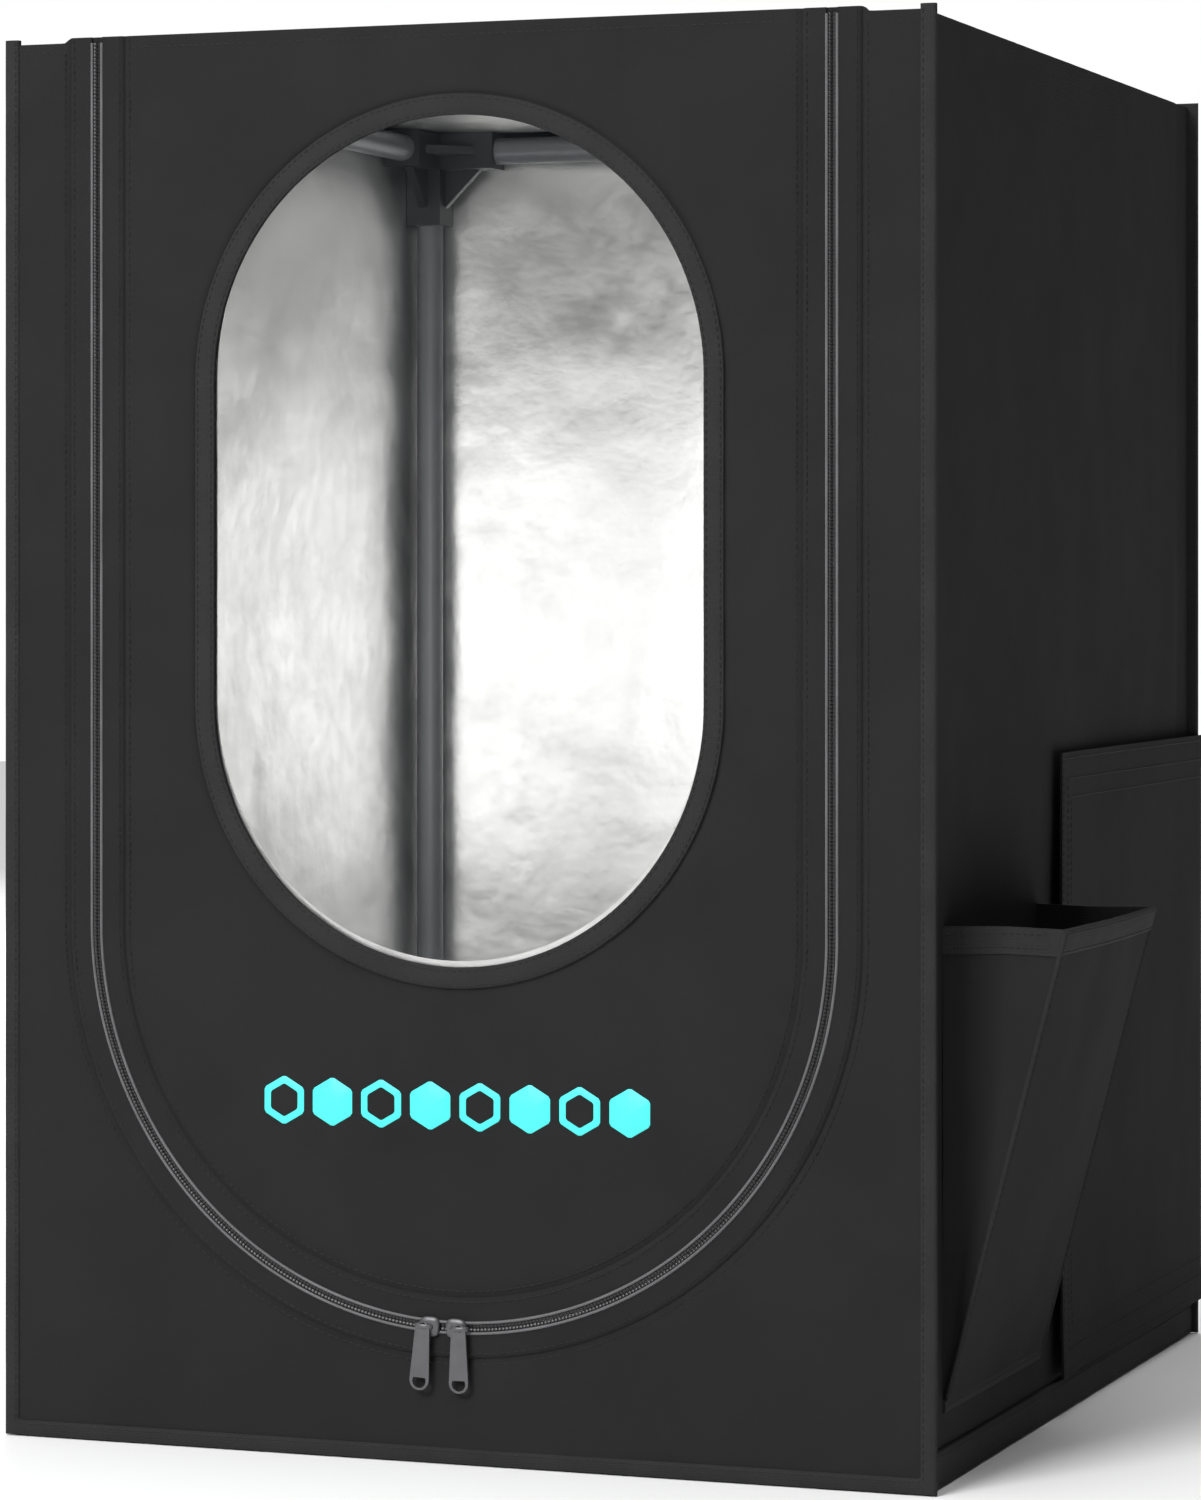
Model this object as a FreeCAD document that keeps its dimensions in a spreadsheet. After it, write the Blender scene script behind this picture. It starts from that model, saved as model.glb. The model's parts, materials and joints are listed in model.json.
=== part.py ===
import FreeCAD, Part
import Sketcher
import math
import os

# Enclosure tent for a desktop 3-D printer: a cloth cover with a foil lining over a
# frame of twelve poles in eight corner connectors. A U-shaped zipped door hangs from
# the front top edge, a bellows pocket and a cable-port flap are on the right wall.
# Millimetres. +X is to the right seen from the front, +Y to the rear, +Z up, and the
# origin is the middle of the underside.

doc = FreeCAD.newDocument("printer_enclosure_tent")

# ---------------------------------------------------------------- driving sizes
SIZES = {
    # cover
    "tent_width": 500, "tent_depth": 549, "tent_height": 720,
    "cloth": 2, "foil": 0.6, "band_proud": 1,
    "side_gap": 0.4, "binding_fin": 6, "bottom_binding": 9,
    "roof_drop": 2.5, "hem_height": 18, "hem_thickness": 3,
    # zipped door
    "door_margin": 52.5, "door_bottom": 68, "chain_gap": 1.2, "chain_width": 2.4,
    "chain_front": 0.4, "chain_thickness": 2.2, "tape_width": 11.5, "tape_thickness": 1,
    "chain_top_gap": 3, "lining_margin": 4.5, "top_strip_depth": 8,
    # window
    "window_margin": 66, "window_bottom": 248, "window_top_gap": 46,
    "window_border": 10.5, "film": 0.5, "film_lap": 6, "film_seam": 0.5,
    # printed honeycomb
    "cell_radius": 12.5, "cell_pitch": 26.5, "cell_line": 4, "print_height": 178.5,
    "print_thickness": 0.3,
    # frame
    "pole_radius": 8, "pole_wall": 0.8, "socket_clearance": 0.1, "socket_wall": 2.9,
    "socket_floor": 0.9, "arm_reach": 45, "frame_clearance": 0.4, "pole_end_play": 0.2,
    "web_thickness": 5,
    # bellows pocket
    "pocket_front": 32, "pocket_width": 178, "pocket_bottom": 41, "pocket_height": 231,
    "pocket_reach": 61, "pocket_cloth": 1.6, "pocket_rim": 13, "pocket_rim_proud": 0.8,
    "gusset_cloth": 1.2, "gusset_fold": 12, "gusset_lift": 39, "pocket_clearance": 0.4, "pocket_root": 0.8,
    # cable port and its flap
    "flap_spacing": 26, "flap_bottom": 20, "flap_top": 350, "flap_gap": 2.5,
    "flap_cloth": 1.2, "flap_clearance": 0.3, "flap_hem": 15, "hinge_strip": 25,
    "port_margin": 50, "port_corner": 15, "port_rear_margin": 29, "port_end_margin": 40,
    "tape_strip_width": 20, "tape_strip_thickness": 0.9, "tape_strip_inset": 18,
    # zip sliders and pulls
    "slider_length": 11, "slider_width": 10, "slider_plate": 1.5, "slider_clearance": 0.3,
    "slider_foot": 1.2, "post_length": 2, "post_width": 0.8, "slider_corner": 2,
    "flange_width": 0.8, "flange_height": 0.5,
    "left_slider_angle": -3.75, "right_slider_angle": 0.45, "pull_offset": 2.4,
    "ear_thickness": 1.6, "ear_size": 2.8, "bar_radius": 0.7, "bar_height": 3.9,
    "barrel_radius": 1.5, "barrel_width": 3.6, "barrel_clearance": 0.05, "barrel_play": 0.2,
    "pull_length": 32, "pull_width": 10.5, "pull_shoulder": 7.6, "pull_thickness": 1.4,
    "shoulder_drop": 3, "neck_drop": 2.4, "pull_hole_width": 7.2, "pull_hole_height": 4.6,
}

sheet = doc.addObject("Spreadsheet::Sheet", "sizes")
for row, (alias, value) in enumerate(SIZES.items(), start=1):
    sheet.set(f"A{row}", alias)
    sheet.set(f"B{row}", str(value))
    sheet.setAlias(f"B{row}", alias)
doc.recompute()

# Places that several pieces share, written once as expressions of the sheet.
S = "sizes."
FRONT = f"(-{S}tent_depth / 2)"
BACK = f"({S}tent_depth / 2)"
BINDING_DEPTH = f"({S}band_proud + {S}cloth + {S}foil + {S}side_gap)"
BINDING_WIDTH = f"({S}binding_fin + {S}cloth)"
WALL_OUTER = f"({S}tent_width / 2 - {S}binding_fin)"
WALL_INNER = f"({WALL_OUTER} - {S}cloth)"
SIDE_LENGTH = f"({S}tent_depth - 2 * {BINDING_DEPTH})"
SIDE_FRONT = f"({FRONT} + {BINDING_DEPTH})"
ROOF_TOP = f"({S}tent_height - {S}roof_drop)"
ROOF_UNDER = f"({ROOF_TOP} - {S}cloth)"
CLOTH_FRONT = f"({FRONT} + {S}band_proud)"
CLOTH_INSIDE = f"({CLOTH_FRONT} + {S}cloth)"
DOOR_RADIUS = f"({S}tent_width / 2 - {S}door_margin)"
ARC_HEIGHT = f"({S}door_bottom + {DOOR_RADIUS})"
DOOR_EDGE = f"({DOOR_RADIUS} - {S}chain_gap / 2 - {S}chain_width)"
FRAME_EDGE = f"({DOOR_RADIUS} + {S}chain_gap / 2 + {S}chain_width)"
WINDOW_RADIUS = f"({DOOR_RADIUS} - {S}window_margin)"
WINDOW_LOW = f"({S}window_bottom + {WINDOW_RADIUS})"
WINDOW_STRAIGHT = f"({S}tent_height - {S}window_top_gap - {WINDOW_RADIUS} - {WINDOW_LOW})"
SOCKET_HALF = f"({S}pole_radius + {S}socket_clearance + {S}socket_wall)"
FRAME_X = f"({WALL_INNER} - {S}foil - {S}frame_clearance - {SOCKET_HALF})"
FRAME_Y = f"({BACK} - {S}band_proud - {S}cloth - {S}foil - {S}frame_clearance - {SOCKET_HALF})"
FRAME_LOW = f"({S}cloth + {S}foil + {S}frame_clearance + {SOCKET_HALF})"
FRAME_HIGH = f"({ROOF_UNDER} - {S}foil - {S}frame_clearance - {SOCKET_HALF})"
SOCKET_FLOOR = f"({S}pole_radius + {S}socket_clearance + {S}socket_floor)"
FLAP_FRONT = f"({FRONT} + {S}pocket_front + {S}pocket_width + {S}flap_spacing)"
FLAP_LENGTH = f"({BACK} - {FLAP_FRONT})"

PRINT_CELLS = 8

kept = []


def value(expression):
    """The number that an expression of the sheet stands for now."""
    found = sheet.evalExpression(expression)
    return float(getattr(found, "Value", found))


def bind(thing, **places):
    """Binds properties to expressions of the sheet."""
    for name, expression in places.items():
        thing.setExpression(name.replace("__", "."), expression)
    return thing


def move(thing, x="0", y="0", z="0"):
    thing.setExpression("Placement.Base.x", x)
    thing.setExpression("Placement.Base.y", y)
    thing.setExpression("Placement.Base.z", z)
    return thing


def keep(thing, label):
    """Marks a finished sub-part, whose label names its file."""
    thing.Label = label
    kept.append(thing)
    return thing


def box(name, length, width, height, x="0", y="0", z="0"):
    made = doc.addObject("Part::Box", name)
    bind(made, Length=length, Width=width, Height=height)
    return move(made, x, y, z)


def rod(name, radius, height, axis=(0, 0, 1), x="0", y="0", z="0"):
    """A cylinder that starts at the point and runs along the axis."""
    made = doc.addObject("Part::Cylinder", name)
    bind(made, Radius=radius, Height=height)
    made.Placement.Rotation = FreeCAD.Rotation(FreeCAD.Vector(0, 0, 1), FreeCAD.Vector(*axis))
    return move(made, x, y, z)


def fuse(name, *shapes):
    made = doc.addObject("Part::MultiFuse", name)
    made.Shapes = list(shapes)
    made.Refine = True
    return made


def cut(name, base, tool):
    made = doc.addObject("Part::Cut", name)
    made.Base = base
    made.Tool = tool
    made.Refine = True
    return made


def centred_box(name, half_x, depth, height, y, z):
    """A box from -half_x to half_x."""
    return box(name, f"2 * {half_x}", depth, height, f"-{half_x}", y, z)


def u_shape(name, radius, top, y, depth):
    """The outline of the door: straight sides down from top and a half round foot."""
    straight = box(name + "_straight", f"2 * ({radius})", depth, f"{top} - {ARC_HEIGHT}",
                   f"-({radius})", y, f"{ARC_HEIGHT}")
    foot = rod(name + "_foot", radius, depth, (0, 1, 0), y=y, z=f"{ARC_HEIGHT}")
    return fuse(name, straight, foot)


def u_ring(name, inner, outer, top, y, depth):
    return cut(name, u_shape(name + "_outer", outer, top, y, depth),
               u_shape(name + "_inner", inner, f"({top} + 1)", f"({y} - 1)", f"({depth} + 2)"))


def pill(name, radius, y, depth):
    """The window's outline: two half rounds joined by straight sides."""
    middle = box(name + "_straight", f"2 * ({radius})", depth, WINDOW_STRAIGHT, f"-({radius})", y,
                 WINDOW_LOW)
    upper = rod(name + "_upper", radius, depth, (0, 1, 0), y=y, z=f"({WINDOW_LOW} + {WINDOW_STRAIGHT})")
    lower = rod(name + "_lower", radius, depth, (0, 1, 0), y=y, z=WINDOW_LOW)
    return fuse(name, middle, upper, lower)


def outlined(body, name, plane, points, round_side=None):
    """A closed sketch in a body, each of whose corners is bound to two expressions.

    round_side is the number of a level side that is drawn as a half circle."""
    sketch = body.newObject("Sketcher::SketchObject", name)
    origin = next(f for f in body.Origin.OriginFeatures if f.Role == plane)
    sketch.AttachmentSupport = [(origin, "")]
    sketch.MapMode = "FlatFace"
    corners = [FreeCAD.Vector(value(x), value(y), 0) for x, y in points]
    ends = {}
    for n, start in enumerate(corners):
        end = corners[(n + 1) % len(corners)]
        if n == round_side:
            across = (end - start) / 2
            bulge = start + across + FreeCAD.Vector(across.y, -across.x, 0)
            side = Part.Arc(start, bulge, end)
        else:
            side = Part.LineSegment(start, end)
        sketch.addGeometry(side, False)
        starts_here = sketch.Geometry[n].StartPoint.distanceToPoint(start) < 1e-6
        ends[n] = (1, 2) if starts_here else (2, 1)

    def fix(kind, side, point, expression):
        number = sketch.addConstraint(
            Sketcher.Constraint(kind, -1, 1, side, point, value(expression)))
        sketch.setExpression(f"Constraints[{number}]", expression)

    for n, (x, y) in enumerate(points):
        after = (n + 1) % len(points)
        sketch.addConstraint(Sketcher.Constraint("Coincident", n, ends[n][1], after, ends[after][0]))
        fix("DistanceX", n, ends[n][0], x)
        fix("DistanceY", n, ends[n][0], y)
    if round_side is not None:
        fix("DistanceY", round_side, 3, points[round_side][1])
    return sketch


def pad(body, name, sketch, length, midplane=False, reversed_=False):
    made = body.newObject("PartDesign::Pad", name)
    made.Profile = sketch
    made.Midplane = midplane
    made.Reversed = reversed_
    made.setExpression("Length", length)
    return made


# ---------------------------------------------------------------- cloth walls
def make_cover():
    """The outer cloth: roof, floor, two walls, the back, and the surround of the door."""
    keep(centred_box("roof", WALL_INNER, SIDE_LENGTH, f"{S}cloth", SIDE_FRONT, ROOF_UNDER), "roof_panel")
    keep(centred_box("floor", WALL_INNER, SIDE_LENGTH, f"{S}cloth", SIDE_FRONT, "0"), "floor_panel")
    keep(box("left_wall", f"{S}cloth", SIDE_LENGTH, ROOF_TOP, f"-{WALL_OUTER}", SIDE_FRONT, "0"),
         "left_panel")
    wall = box("right_wall_whole", f"{S}cloth", SIDE_LENGTH, ROOF_TOP, WALL_INNER, SIDE_FRONT, "0")
    keep(cut("right_wall", wall, port_hole("wall_port", "0")), "right_panel")
    back_height = f"({ROOF_TOP} - {S}bottom_binding)"
    keep(centred_box("back_wall", WALL_INNER, f"{S}cloth", back_height,
                     f"({BACK} - {S}band_proud - {S}cloth)", f"{S}bottom_binding"), "back_panel")
    front = centred_box("front_whole", WALL_INNER, f"{S}cloth", back_height, CLOTH_FRONT,
                        f"{S}bottom_binding")
    hole = u_shape("front_hole", FRAME_EDGE, f"({S}tent_height + 1)", f"({CLOTH_FRONT} - 1)",
                   f"({S}cloth + 2)")
    keep(cut("front_wall", front, hole), "front_panel")


def port_hole(name, margin):
    """The round-cornered cable port through the right wall, larger by margin all round."""
    length = f"({FLAP_LENGTH} - {S}port_margin - {S}port_rear_margin + 2 * {margin})"
    height = f"({S}flap_top - {S}flap_bottom - 2 * {S}port_end_margin + 2 * {margin})"
    block = box(name + "_block", f"({S}cloth + 4)", length, height,
                f"({WALL_INNER} - 2)", f"({FLAP_FRONT} + {S}port_margin - {margin})",
                f"({S}flap_bottom + {S}port_end_margin - {margin})")
    doc.recompute()
    rounded = doc.addObject("Part::Fillet", name)
    rounded.Base = block
    edges = [n for n, edge in enumerate(block.Shape.Edges, start=1)
             if abs(edge.tangentAt(edge.FirstParameter).x) > 0.9]
    rounded.Edges = [(n, value(f"{S}port_corner"), value(f"{S}port_corner")) for n in edges]
    return rounded


def make_lining():
    """Aluminised film on the inside of every wall."""
    lining_half = f"({WALL_INNER} - {S}foil)"
    inner_height = f"({ROOF_UNDER} - {S}cloth)"
    keep(centred_box("roof_foil", lining_half, SIDE_LENGTH, f"{S}foil", SIDE_FRONT,
                     f"({ROOF_UNDER} - {S}foil)"), "roof_lining")
    keep(centred_box("floor_foil", lining_half, SIDE_LENGTH, f"{S}foil", SIDE_FRONT, f"{S}cloth"),
         "floor_lining")
    keep(box("left_foil", f"{S}foil", SIDE_LENGTH, inner_height, f"-{WALL_INNER}", SIDE_FRONT,
             f"{S}cloth"), "left_lining")
    right = box("right_foil_whole", f"{S}foil", SIDE_LENGTH, inner_height, lining_half, SIDE_FRONT,
                f"{S}cloth")
    keep(cut("right_foil", right, port_hole("foil_port", f"{S}foil")), "right_lining")
    height = f"({ROOF_UNDER} - {S}bottom_binding)"
    keep(centred_box("back_foil", WALL_INNER, f"{S}foil", height,
                     f"({BACK} - {S}band_proud - {S}cloth - {S}foil)", f"{S}bottom_binding"),
         "back_lining")
    front = centred_box("front_foil_whole", WALL_INNER, f"{S}foil", height, CLOTH_INSIDE,
                        f"{S}bottom_binding")
    hole = u_shape("front_foil_hole", f"({FRAME_EDGE} + {S}lining_margin)", f"({S}tent_height + 1)",
                   f"({CLOTH_INSIDE} - 1)", f"({S}foil + 2)")
    keep(cut("front_foil", front, hole), "front_lining")


def make_bindings():
    """The bound edges round the front and the back, the hems, and the strip above the door."""
    def edge_frame(label, y, with_top):
        strips = [box(f"{label}_{side}", f"{BINDING_WIDTH}", f"{BINDING_DEPTH}",
                      f"{S}tent_height", x, y, "0")
                  for side, x in (("left", f"(-{S}tent_width / 2)"), ("right", WALL_INNER))]
        strips.append(centred_box(label + "_foot", WALL_INNER, f"{BINDING_DEPTH}",
                                  f"{S}bottom_binding", y, "0"))
        if with_top:
            strips.append(centred_box(label + "_head", WALL_INNER, f"{BINDING_DEPTH}",
                                      f"{S}roof_drop", y, ROOF_TOP))
        keep(fuse(label + "_frame", *strips), label)

    edge_frame("front_binding", FRONT, False)
    edge_frame("rear_binding", f"({BACK} - {BINDING_DEPTH})", True)
    for side, x in (("left", f"(-{WALL_OUTER} - {S}hem_thickness)"), ("right", WALL_OUTER)):
        keep(box(side + "_hem_strip", f"{S}hem_thickness", SIDE_LENGTH, f"{S}hem_height", x,
                 SIDE_FRONT, "0"), side + "_hem")
    keep(centred_box("top_strip", f"({FRAME_EDGE} + {S}tape_width)", f"{S}top_strip_depth",
                     f"{S}roof_drop", SIDE_FRONT, ROOF_TOP), "door_top_binding")


# ---------------------------------------------------------------- poles and connectors
def make_frame():
    """Twelve tubes, plugged into eight three-way corner connectors."""
    ends = (("left", "-", -1), ("right", "", 1))
    levels = (("lower", FRAME_LOW, -1), ("upper", FRAME_HIGH, 1))
    depths = (("front", "-", -1), ("rear", "", 1))

    def pole(label, axis, half, x, y, z):
        """A tube whose middle is at the point. half is half the length between two corners."""
        inner_half = f"({half} - {SOCKET_FLOOR} - {S}pole_end_play)"
        starts = [f"({place}) - {inner_half}" if step else place
                  for place, step in zip((x, y, z), axis)]
        tube = rod(label + "_tube", f"{S}pole_radius", f"2 * {inner_half}", axis, *starts)
        hollow = rod(label + "_hollow", f"({S}pole_radius - {S}pole_wall)", f"2 * {inner_half}", axis,
                     *starts)
        keep(cut(label + "_cut", tube, hollow), label)

    middle = f"(({FRAME_LOW} + {FRAME_HIGH}) / 2)"
    for depth, y_sign, _ in depths:
        for side, x_sign, _ in ends:
            pole(f"pole_{depth}_{side}", (0, 0, 1), f"(({FRAME_HIGH} - {FRAME_LOW}) / 2)",
                 f"{x_sign}{FRAME_X}", f"{y_sign}{FRAME_Y}", middle)
        for level, z, _ in levels:
            pole(f"pole_{depth}_{level}", (1, 0, 0), FRAME_X, "0", f"{y_sign}{FRAME_Y}", z)
    for side, x_sign, _ in ends:
        for level, z, _ in levels:
            pole(f"pole_{side}_{level}", (0, 1, 0), FRAME_Y, f"{x_sign}{FRAME_X}", "0", z)

    for level, z, up in levels:
        for depth, y_sign, back in depths:
            for side, x_sign, right in ends:
                label = f"connector_{level}_{depth}_{side}"
                move(keep(corner_connector(label + "_", (-right, -back, -up)), label),
                     f"{x_sign}{FRAME_X}", f"{y_sign}{FRAME_Y}", z)


def corner_connector(name, towards):
    """A moulded corner: three square arms with round sockets and a web between each two.

    towards holds the direction of each arm along its axis, 1 or -1."""
    size = f"(2 * {SOCKET_HALF})"
    reach = f"({S}arm_reach + {SOCKET_HALF})"
    bore = f"({S}pole_radius + {S}socket_clearance)"
    arms, sockets, webs = [], [], []
    for axis in range(3):
        sizes = [size] * 3
        sizes[axis] = reach
        starts = [f"-{SOCKET_HALF}"] * 3
        if towards[axis] < 0:
            starts[axis] = f"-{S}arm_reach"
        arms.append(box(f"{name}arm{axis}", *sizes, *starts))
        mouth = ["0"] * 3
        mouth[axis] = SOCKET_FLOOR if towards[axis] > 0 else f"-{SOCKET_FLOOR}"
        direction = [0] * 3
        direction[axis] = towards[axis]
        sockets.append(rod(f"{name}socket{axis}", bore, f"({S}arm_reach - {SOCKET_FLOOR} + 1)",
                           direction, *mouth))
        web = doc.addObject("Part::Wedge", f"{name}web{axis}")
        bind(web, Xmin="0", Ymin="0", Zmin="0", X2min="0", Z2min="0",
             Xmax=f"{S}arm_reach", Ymax=f"{S}arm_reach", Zmax=f"{S}web_thickness",
             X2max="0.01", Z2max=f"{S}web_thickness")
        first, second = [a for a in range(3) if a != axis]
        side = [[0.0] * 3 for _ in range(3)]
        side[0][first] = towards[first]
        side[1][second] = towards[second]
        turned = (FreeCAD.Vector(*side[0]).cross(FreeCAD.Vector(*side[1])))
        web.Placement.Rotation = FreeCAD.Rotation(
            FreeCAD.Vector(*side[0]), FreeCAD.Vector(*side[1]), turned, "ZXY")
        shift = ["0"] * 3
        shift[axis] = f"{'-' if turned[axis] > 0 else ''}{S}web_thickness / 2"
        webs.append(move(web, *shift))
    return cut(name + "moulding", fuse(name + "solid", *arms, *webs), fuse(name + "bores", *sockets))


# ---------------------------------------------------------------- zipped door
def make_door():
    """The door: cloth, lining, window and its border, its half of the zip, and the print."""
    top = f"{S}tent_height"
    cloth = u_shape("door_cloth_whole", DOOR_EDGE, top, CLOTH_FRONT, f"{S}cloth")
    keep(cut("door_cloth", cloth, pill("door_window_hole", f"{WINDOW_RADIUS}", f"({CLOTH_FRONT} - 1)",
                                       f"({S}cloth + 2)")), "door_panel")
    foil = u_shape("door_foil_whole", f"({DOOR_EDGE} - {S}lining_margin)", ROOF_UNDER, CLOTH_INSIDE,
                   f"{S}foil")
    keep(cut("door_foil", foil, pill("door_foil_hole",
                                     f"({WINDOW_RADIUS} + {S}film_lap + {S}film_seam)",
                                     f"({CLOTH_INSIDE} - 1)", f"({S}foil + 2)")), "door_lining")
    keep(pill("film_sheet", f"({WINDOW_RADIUS} + {S}film_lap)", CLOTH_INSIDE, f"{S}film"),
         "window_film")
    border = pill("border_outer", f"({WINDOW_RADIUS} + {S}window_border)", FRONT, f"{S}band_proud")
    keep(cut("border", border, pill("border_inner", f"{WINDOW_RADIUS}", f"({FRONT} - 1)",
                                    f"({S}band_proud + 2)")), "window_binding")
    keep(u_ring("door_tape_ring", f"({DOOR_EDGE} - {S}tape_width)", DOOR_EDGE, top, FRONT,
                f"{S}tape_thickness"), "zipper_tape_door")
    keep(u_ring("door_chain", DOOR_EDGE, f"({DOOR_EDGE} + {S}chain_width)",
                f"({top} - {S}chain_top_gap)", f"({FRONT} - {S}chain_front)",
                f"{S}chain_thickness"), "zipper_chain_door")
    cells = [print_cell(n) for n in range(PRINT_CELLS)]
    group = doc.addObject("Part::Compound", "print_cells")
    group.Links = cells
    keep(group, "door_print")


def print_cell(number):
    """One six-sided cell of the print. Every second one is an outline."""
    def prism(name, radius, y, depth):
        made = doc.addObject("Part::Prism", f"print_{name}_{number}")
        made.Polygon = 6
        made.Placement.Rotation = FreeCAD.Rotation(
            FreeCAD.Vector(0, 0, 1), FreeCAD.Vector(1, 0, 0), FreeCAD.Vector(0, -1, 0), "ZXY")
        bind(made, Circumradius=radius, Height=depth)
        return move(made, f"({number} - {(PRINT_CELLS - 1) / 2}) * {S}cell_pitch", y,
                    f"{S}print_height")

    cell = prism("cell", f"{S}cell_radius", CLOTH_FRONT, f"{S}print_thickness")
    if number % 2:
        return cell
    hole = prism("hole", f"({S}cell_radius - {S}cell_line)", f"({CLOTH_FRONT} + 1)",
                 f"({S}print_thickness + 2)")
    return cut(f"print_outline_{number}", cell, hole)


def make_frame_zip():
    """The half of the zip that stays on the surround."""
    keep(u_ring("frame_tape_ring", FRAME_EDGE, f"({FRAME_EDGE} + {S}tape_width)",
                f"{S}tent_height", FRONT, f"{S}tape_thickness"), "zipper_tape_frame")
    keep(u_ring("frame_chain", f"({FRAME_EDGE} - {S}chain_width)", FRAME_EDGE,
                f"({S}tent_height - {S}chain_top_gap)", f"({FRONT} - {S}chain_front)",
                f"{S}chain_thickness"), "zipper_chain_frame")


def make_slider(side, nose):
    """A slider: a plate over both chains, a post between them, a foot behind the door's chain,
    and a crown whose bar carries the pull. nose is the way that its nose points along X."""
    tag = f"{side}_slider_"
    under = f"(-{S}chain_front - {S}slider_clearance)"
    plate_front = f"({under} - {S}slider_plate)"
    foot_front = f"({S}chain_thickness - {S}chain_front + {S}slider_clearance)"
    half = f"({S}slider_length / 2)"
    plate = box(tag + "plate", f"{S}slider_length", f"{S}slider_plate", f"{S}slider_width",
                f"-{half}", plate_front, f"(-{S}slider_width / 2)")
    doc.recompute()
    rounded = doc.addObject("Part::Fillet", tag + "rounded")
    rounded.Base = plate
    rounded.Edges = [(n, value(f"{S}slider_corner"), value(f"{S}slider_corner"))
                     for n, edge in enumerate(plate.Shape.Edges, start=1)
                     if abs(edge.tangentAt(edge.FirstParameter).y) > 0.9]
    pieces = [rounded]
    for name, z in (("upper", f"({S}slider_width / 2 - {S}flange_width)"),
                    ("lower", f"(-{S}slider_width / 2)")):
        pieces.append(box(tag + name + "_flange", f"({S}slider_length - 2 * {S}slider_corner)",
                          f"{S}flange_height", f"{S}flange_width",
                          f"({S}slider_corner - {half})", under, z))
    post_x = f"({half} - {S}post_length - 0.5)" if nose > 0 else f"(0.5 - {half})"
    pieces.append(box(tag + "post", f"{S}post_length",
                      f"({foot_front} - {under} + {S}slider_foot)", f"{S}post_width", post_x, under,
                      f"(-{S}post_width / 2)"))
    foot_height = f"({S}chain_gap / 2 + {S}chain_width - {S}slider_clearance + {S}post_width / 2)"
    pieces.append(box(tag + "foot", f"({S}slider_length - 1)", f"{S}slider_foot", foot_height,
                      f"(0.5 - {half})", foot_front, f"(-{S}post_width / 2)"))
    centre = f"({-nose} * {S}pull_offset)"
    inner = f"({S}barrel_width / 2 + {S}barrel_play)"
    for name, x in (("left", f"({centre} - {inner} - {S}ear_thickness)"),
                    ("right", f"({centre} + {inner})")):
        pieces.append(box(tag + name + "_ear", f"{S}ear_thickness",
                          f"({S}bar_height + {S}ear_size / 2 + {under})", f"{S}ear_size", x,
                          f"(-{S}bar_height - {S}ear_size / 2)", f"(-{S}ear_size / 2)"))
    pieces.append(rod(tag + "bar", f"{S}bar_radius", f"(2 * {inner} + {S}ear_thickness)", (1, 0, 0),
                      f"({centre} - {inner} - {S}ear_thickness / 2)", f"-{S}bar_height", "0"))
    made = keep(fuse(tag + "body", *pieces), f"slider_{side}")
    made.Placement.Rotation = FreeCAD.Rotation(
        FreeCAD.Vector(0, 1, 0), -value(f"{S}{side}_slider_angle"))
    return move(made, *slider_place(side))


def slider_place(side):
    """The point of the zip's centre line where a slider sits."""
    angle = f"{S}{side}_slider_angle"
    return (f"{DOOR_RADIUS} * sin({angle})", FRONT,
            f"{ARC_HEIGHT} - {DOOR_RADIUS} * cos({angle})")


def make_pull(side, nose):
    """The pull: a barrel round the slider's bar, and a flat tapered tab with a D-shaped hole."""
    body = doc.addObject("PartDesign::Body", f"{side}_pull")
    shoulder = f"{S}pull_shoulder / 2"
    half = f"{S}pull_width / 2"
    neck = f"{S}barrel_width / 2"
    low = f"({S}pull_width / 2 - {S}pull_length)"
    outline = outlined(body, f"{side}_pull_outline", "XZ_Plane", [
        (f"-({neck})", "0"), (f"-({neck})", f"-({S}neck_drop)"),
        (f"-({shoulder})", f"-({S}shoulder_drop)"), (f"-({half})", low), (half, low),
        (shoulder, f"-({S}shoulder_drop)"), (neck, f"-({S}neck_drop)"), (neck, "0")],
        round_side=3)
    doc.recompute()
    pad(body, f"{side}_pull_tab", outline, f"{S}pull_thickness", midplane=True)
    doc.recompute()
    hole_half = f"({S}pull_hole_width / 2)"
    hole = outlined(body, f"{side}_pull_hole_outline", "XZ_Plane", [
        (f"-{hole_half}", f"({low} + {S}pull_hole_height - {hole_half})"), (f"-{hole_half}", low),
        (hole_half, low), (hole_half, f"({low} + {S}pull_hole_height - {hole_half})")], round_side=1)
    doc.recompute()
    pocket = body.newObject("PartDesign::Pocket", f"{side}_pull_hole")
    pocket.Profile = hole
    pocket.Type = 1
    pocket.Midplane = True
    doc.recompute()
    body.Tip = pocket
    barrel_half = f"({S}barrel_width / 2)"
    barrel = rod(f"{side}_barrel", f"{S}barrel_radius", f"{S}barrel_width", (1, 0, 0), f"-{barrel_half}")
    bore = rod(f"{side}_barrel_bore", f"({S}bar_radius + {S}barrel_clearance)",
               f"({S}barrel_width + 2)", (1, 0, 0), f"(-{barrel_half} - 1)")
    made = keep(cut(f"{side}_pull_whole", fuse(f"{side}_pull_solid", body, barrel), bore),
                f"pull_{side}")
    angle = value(f"{S}{side}_slider_angle")
    made.Placement.Rotation = FreeCAD.Rotation(FreeCAD.Vector(0, 1, 0), -angle)
    x, y, z = slider_place(side)
    shift = f"({-nose} * {S}pull_offset)"
    return move(made, f"{x} + {shift} * cos({S}{side}_slider_angle)", f"{y} - {S}bar_height",
                f"{z} + {shift} * sin({S}{side}_slider_angle)")


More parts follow.
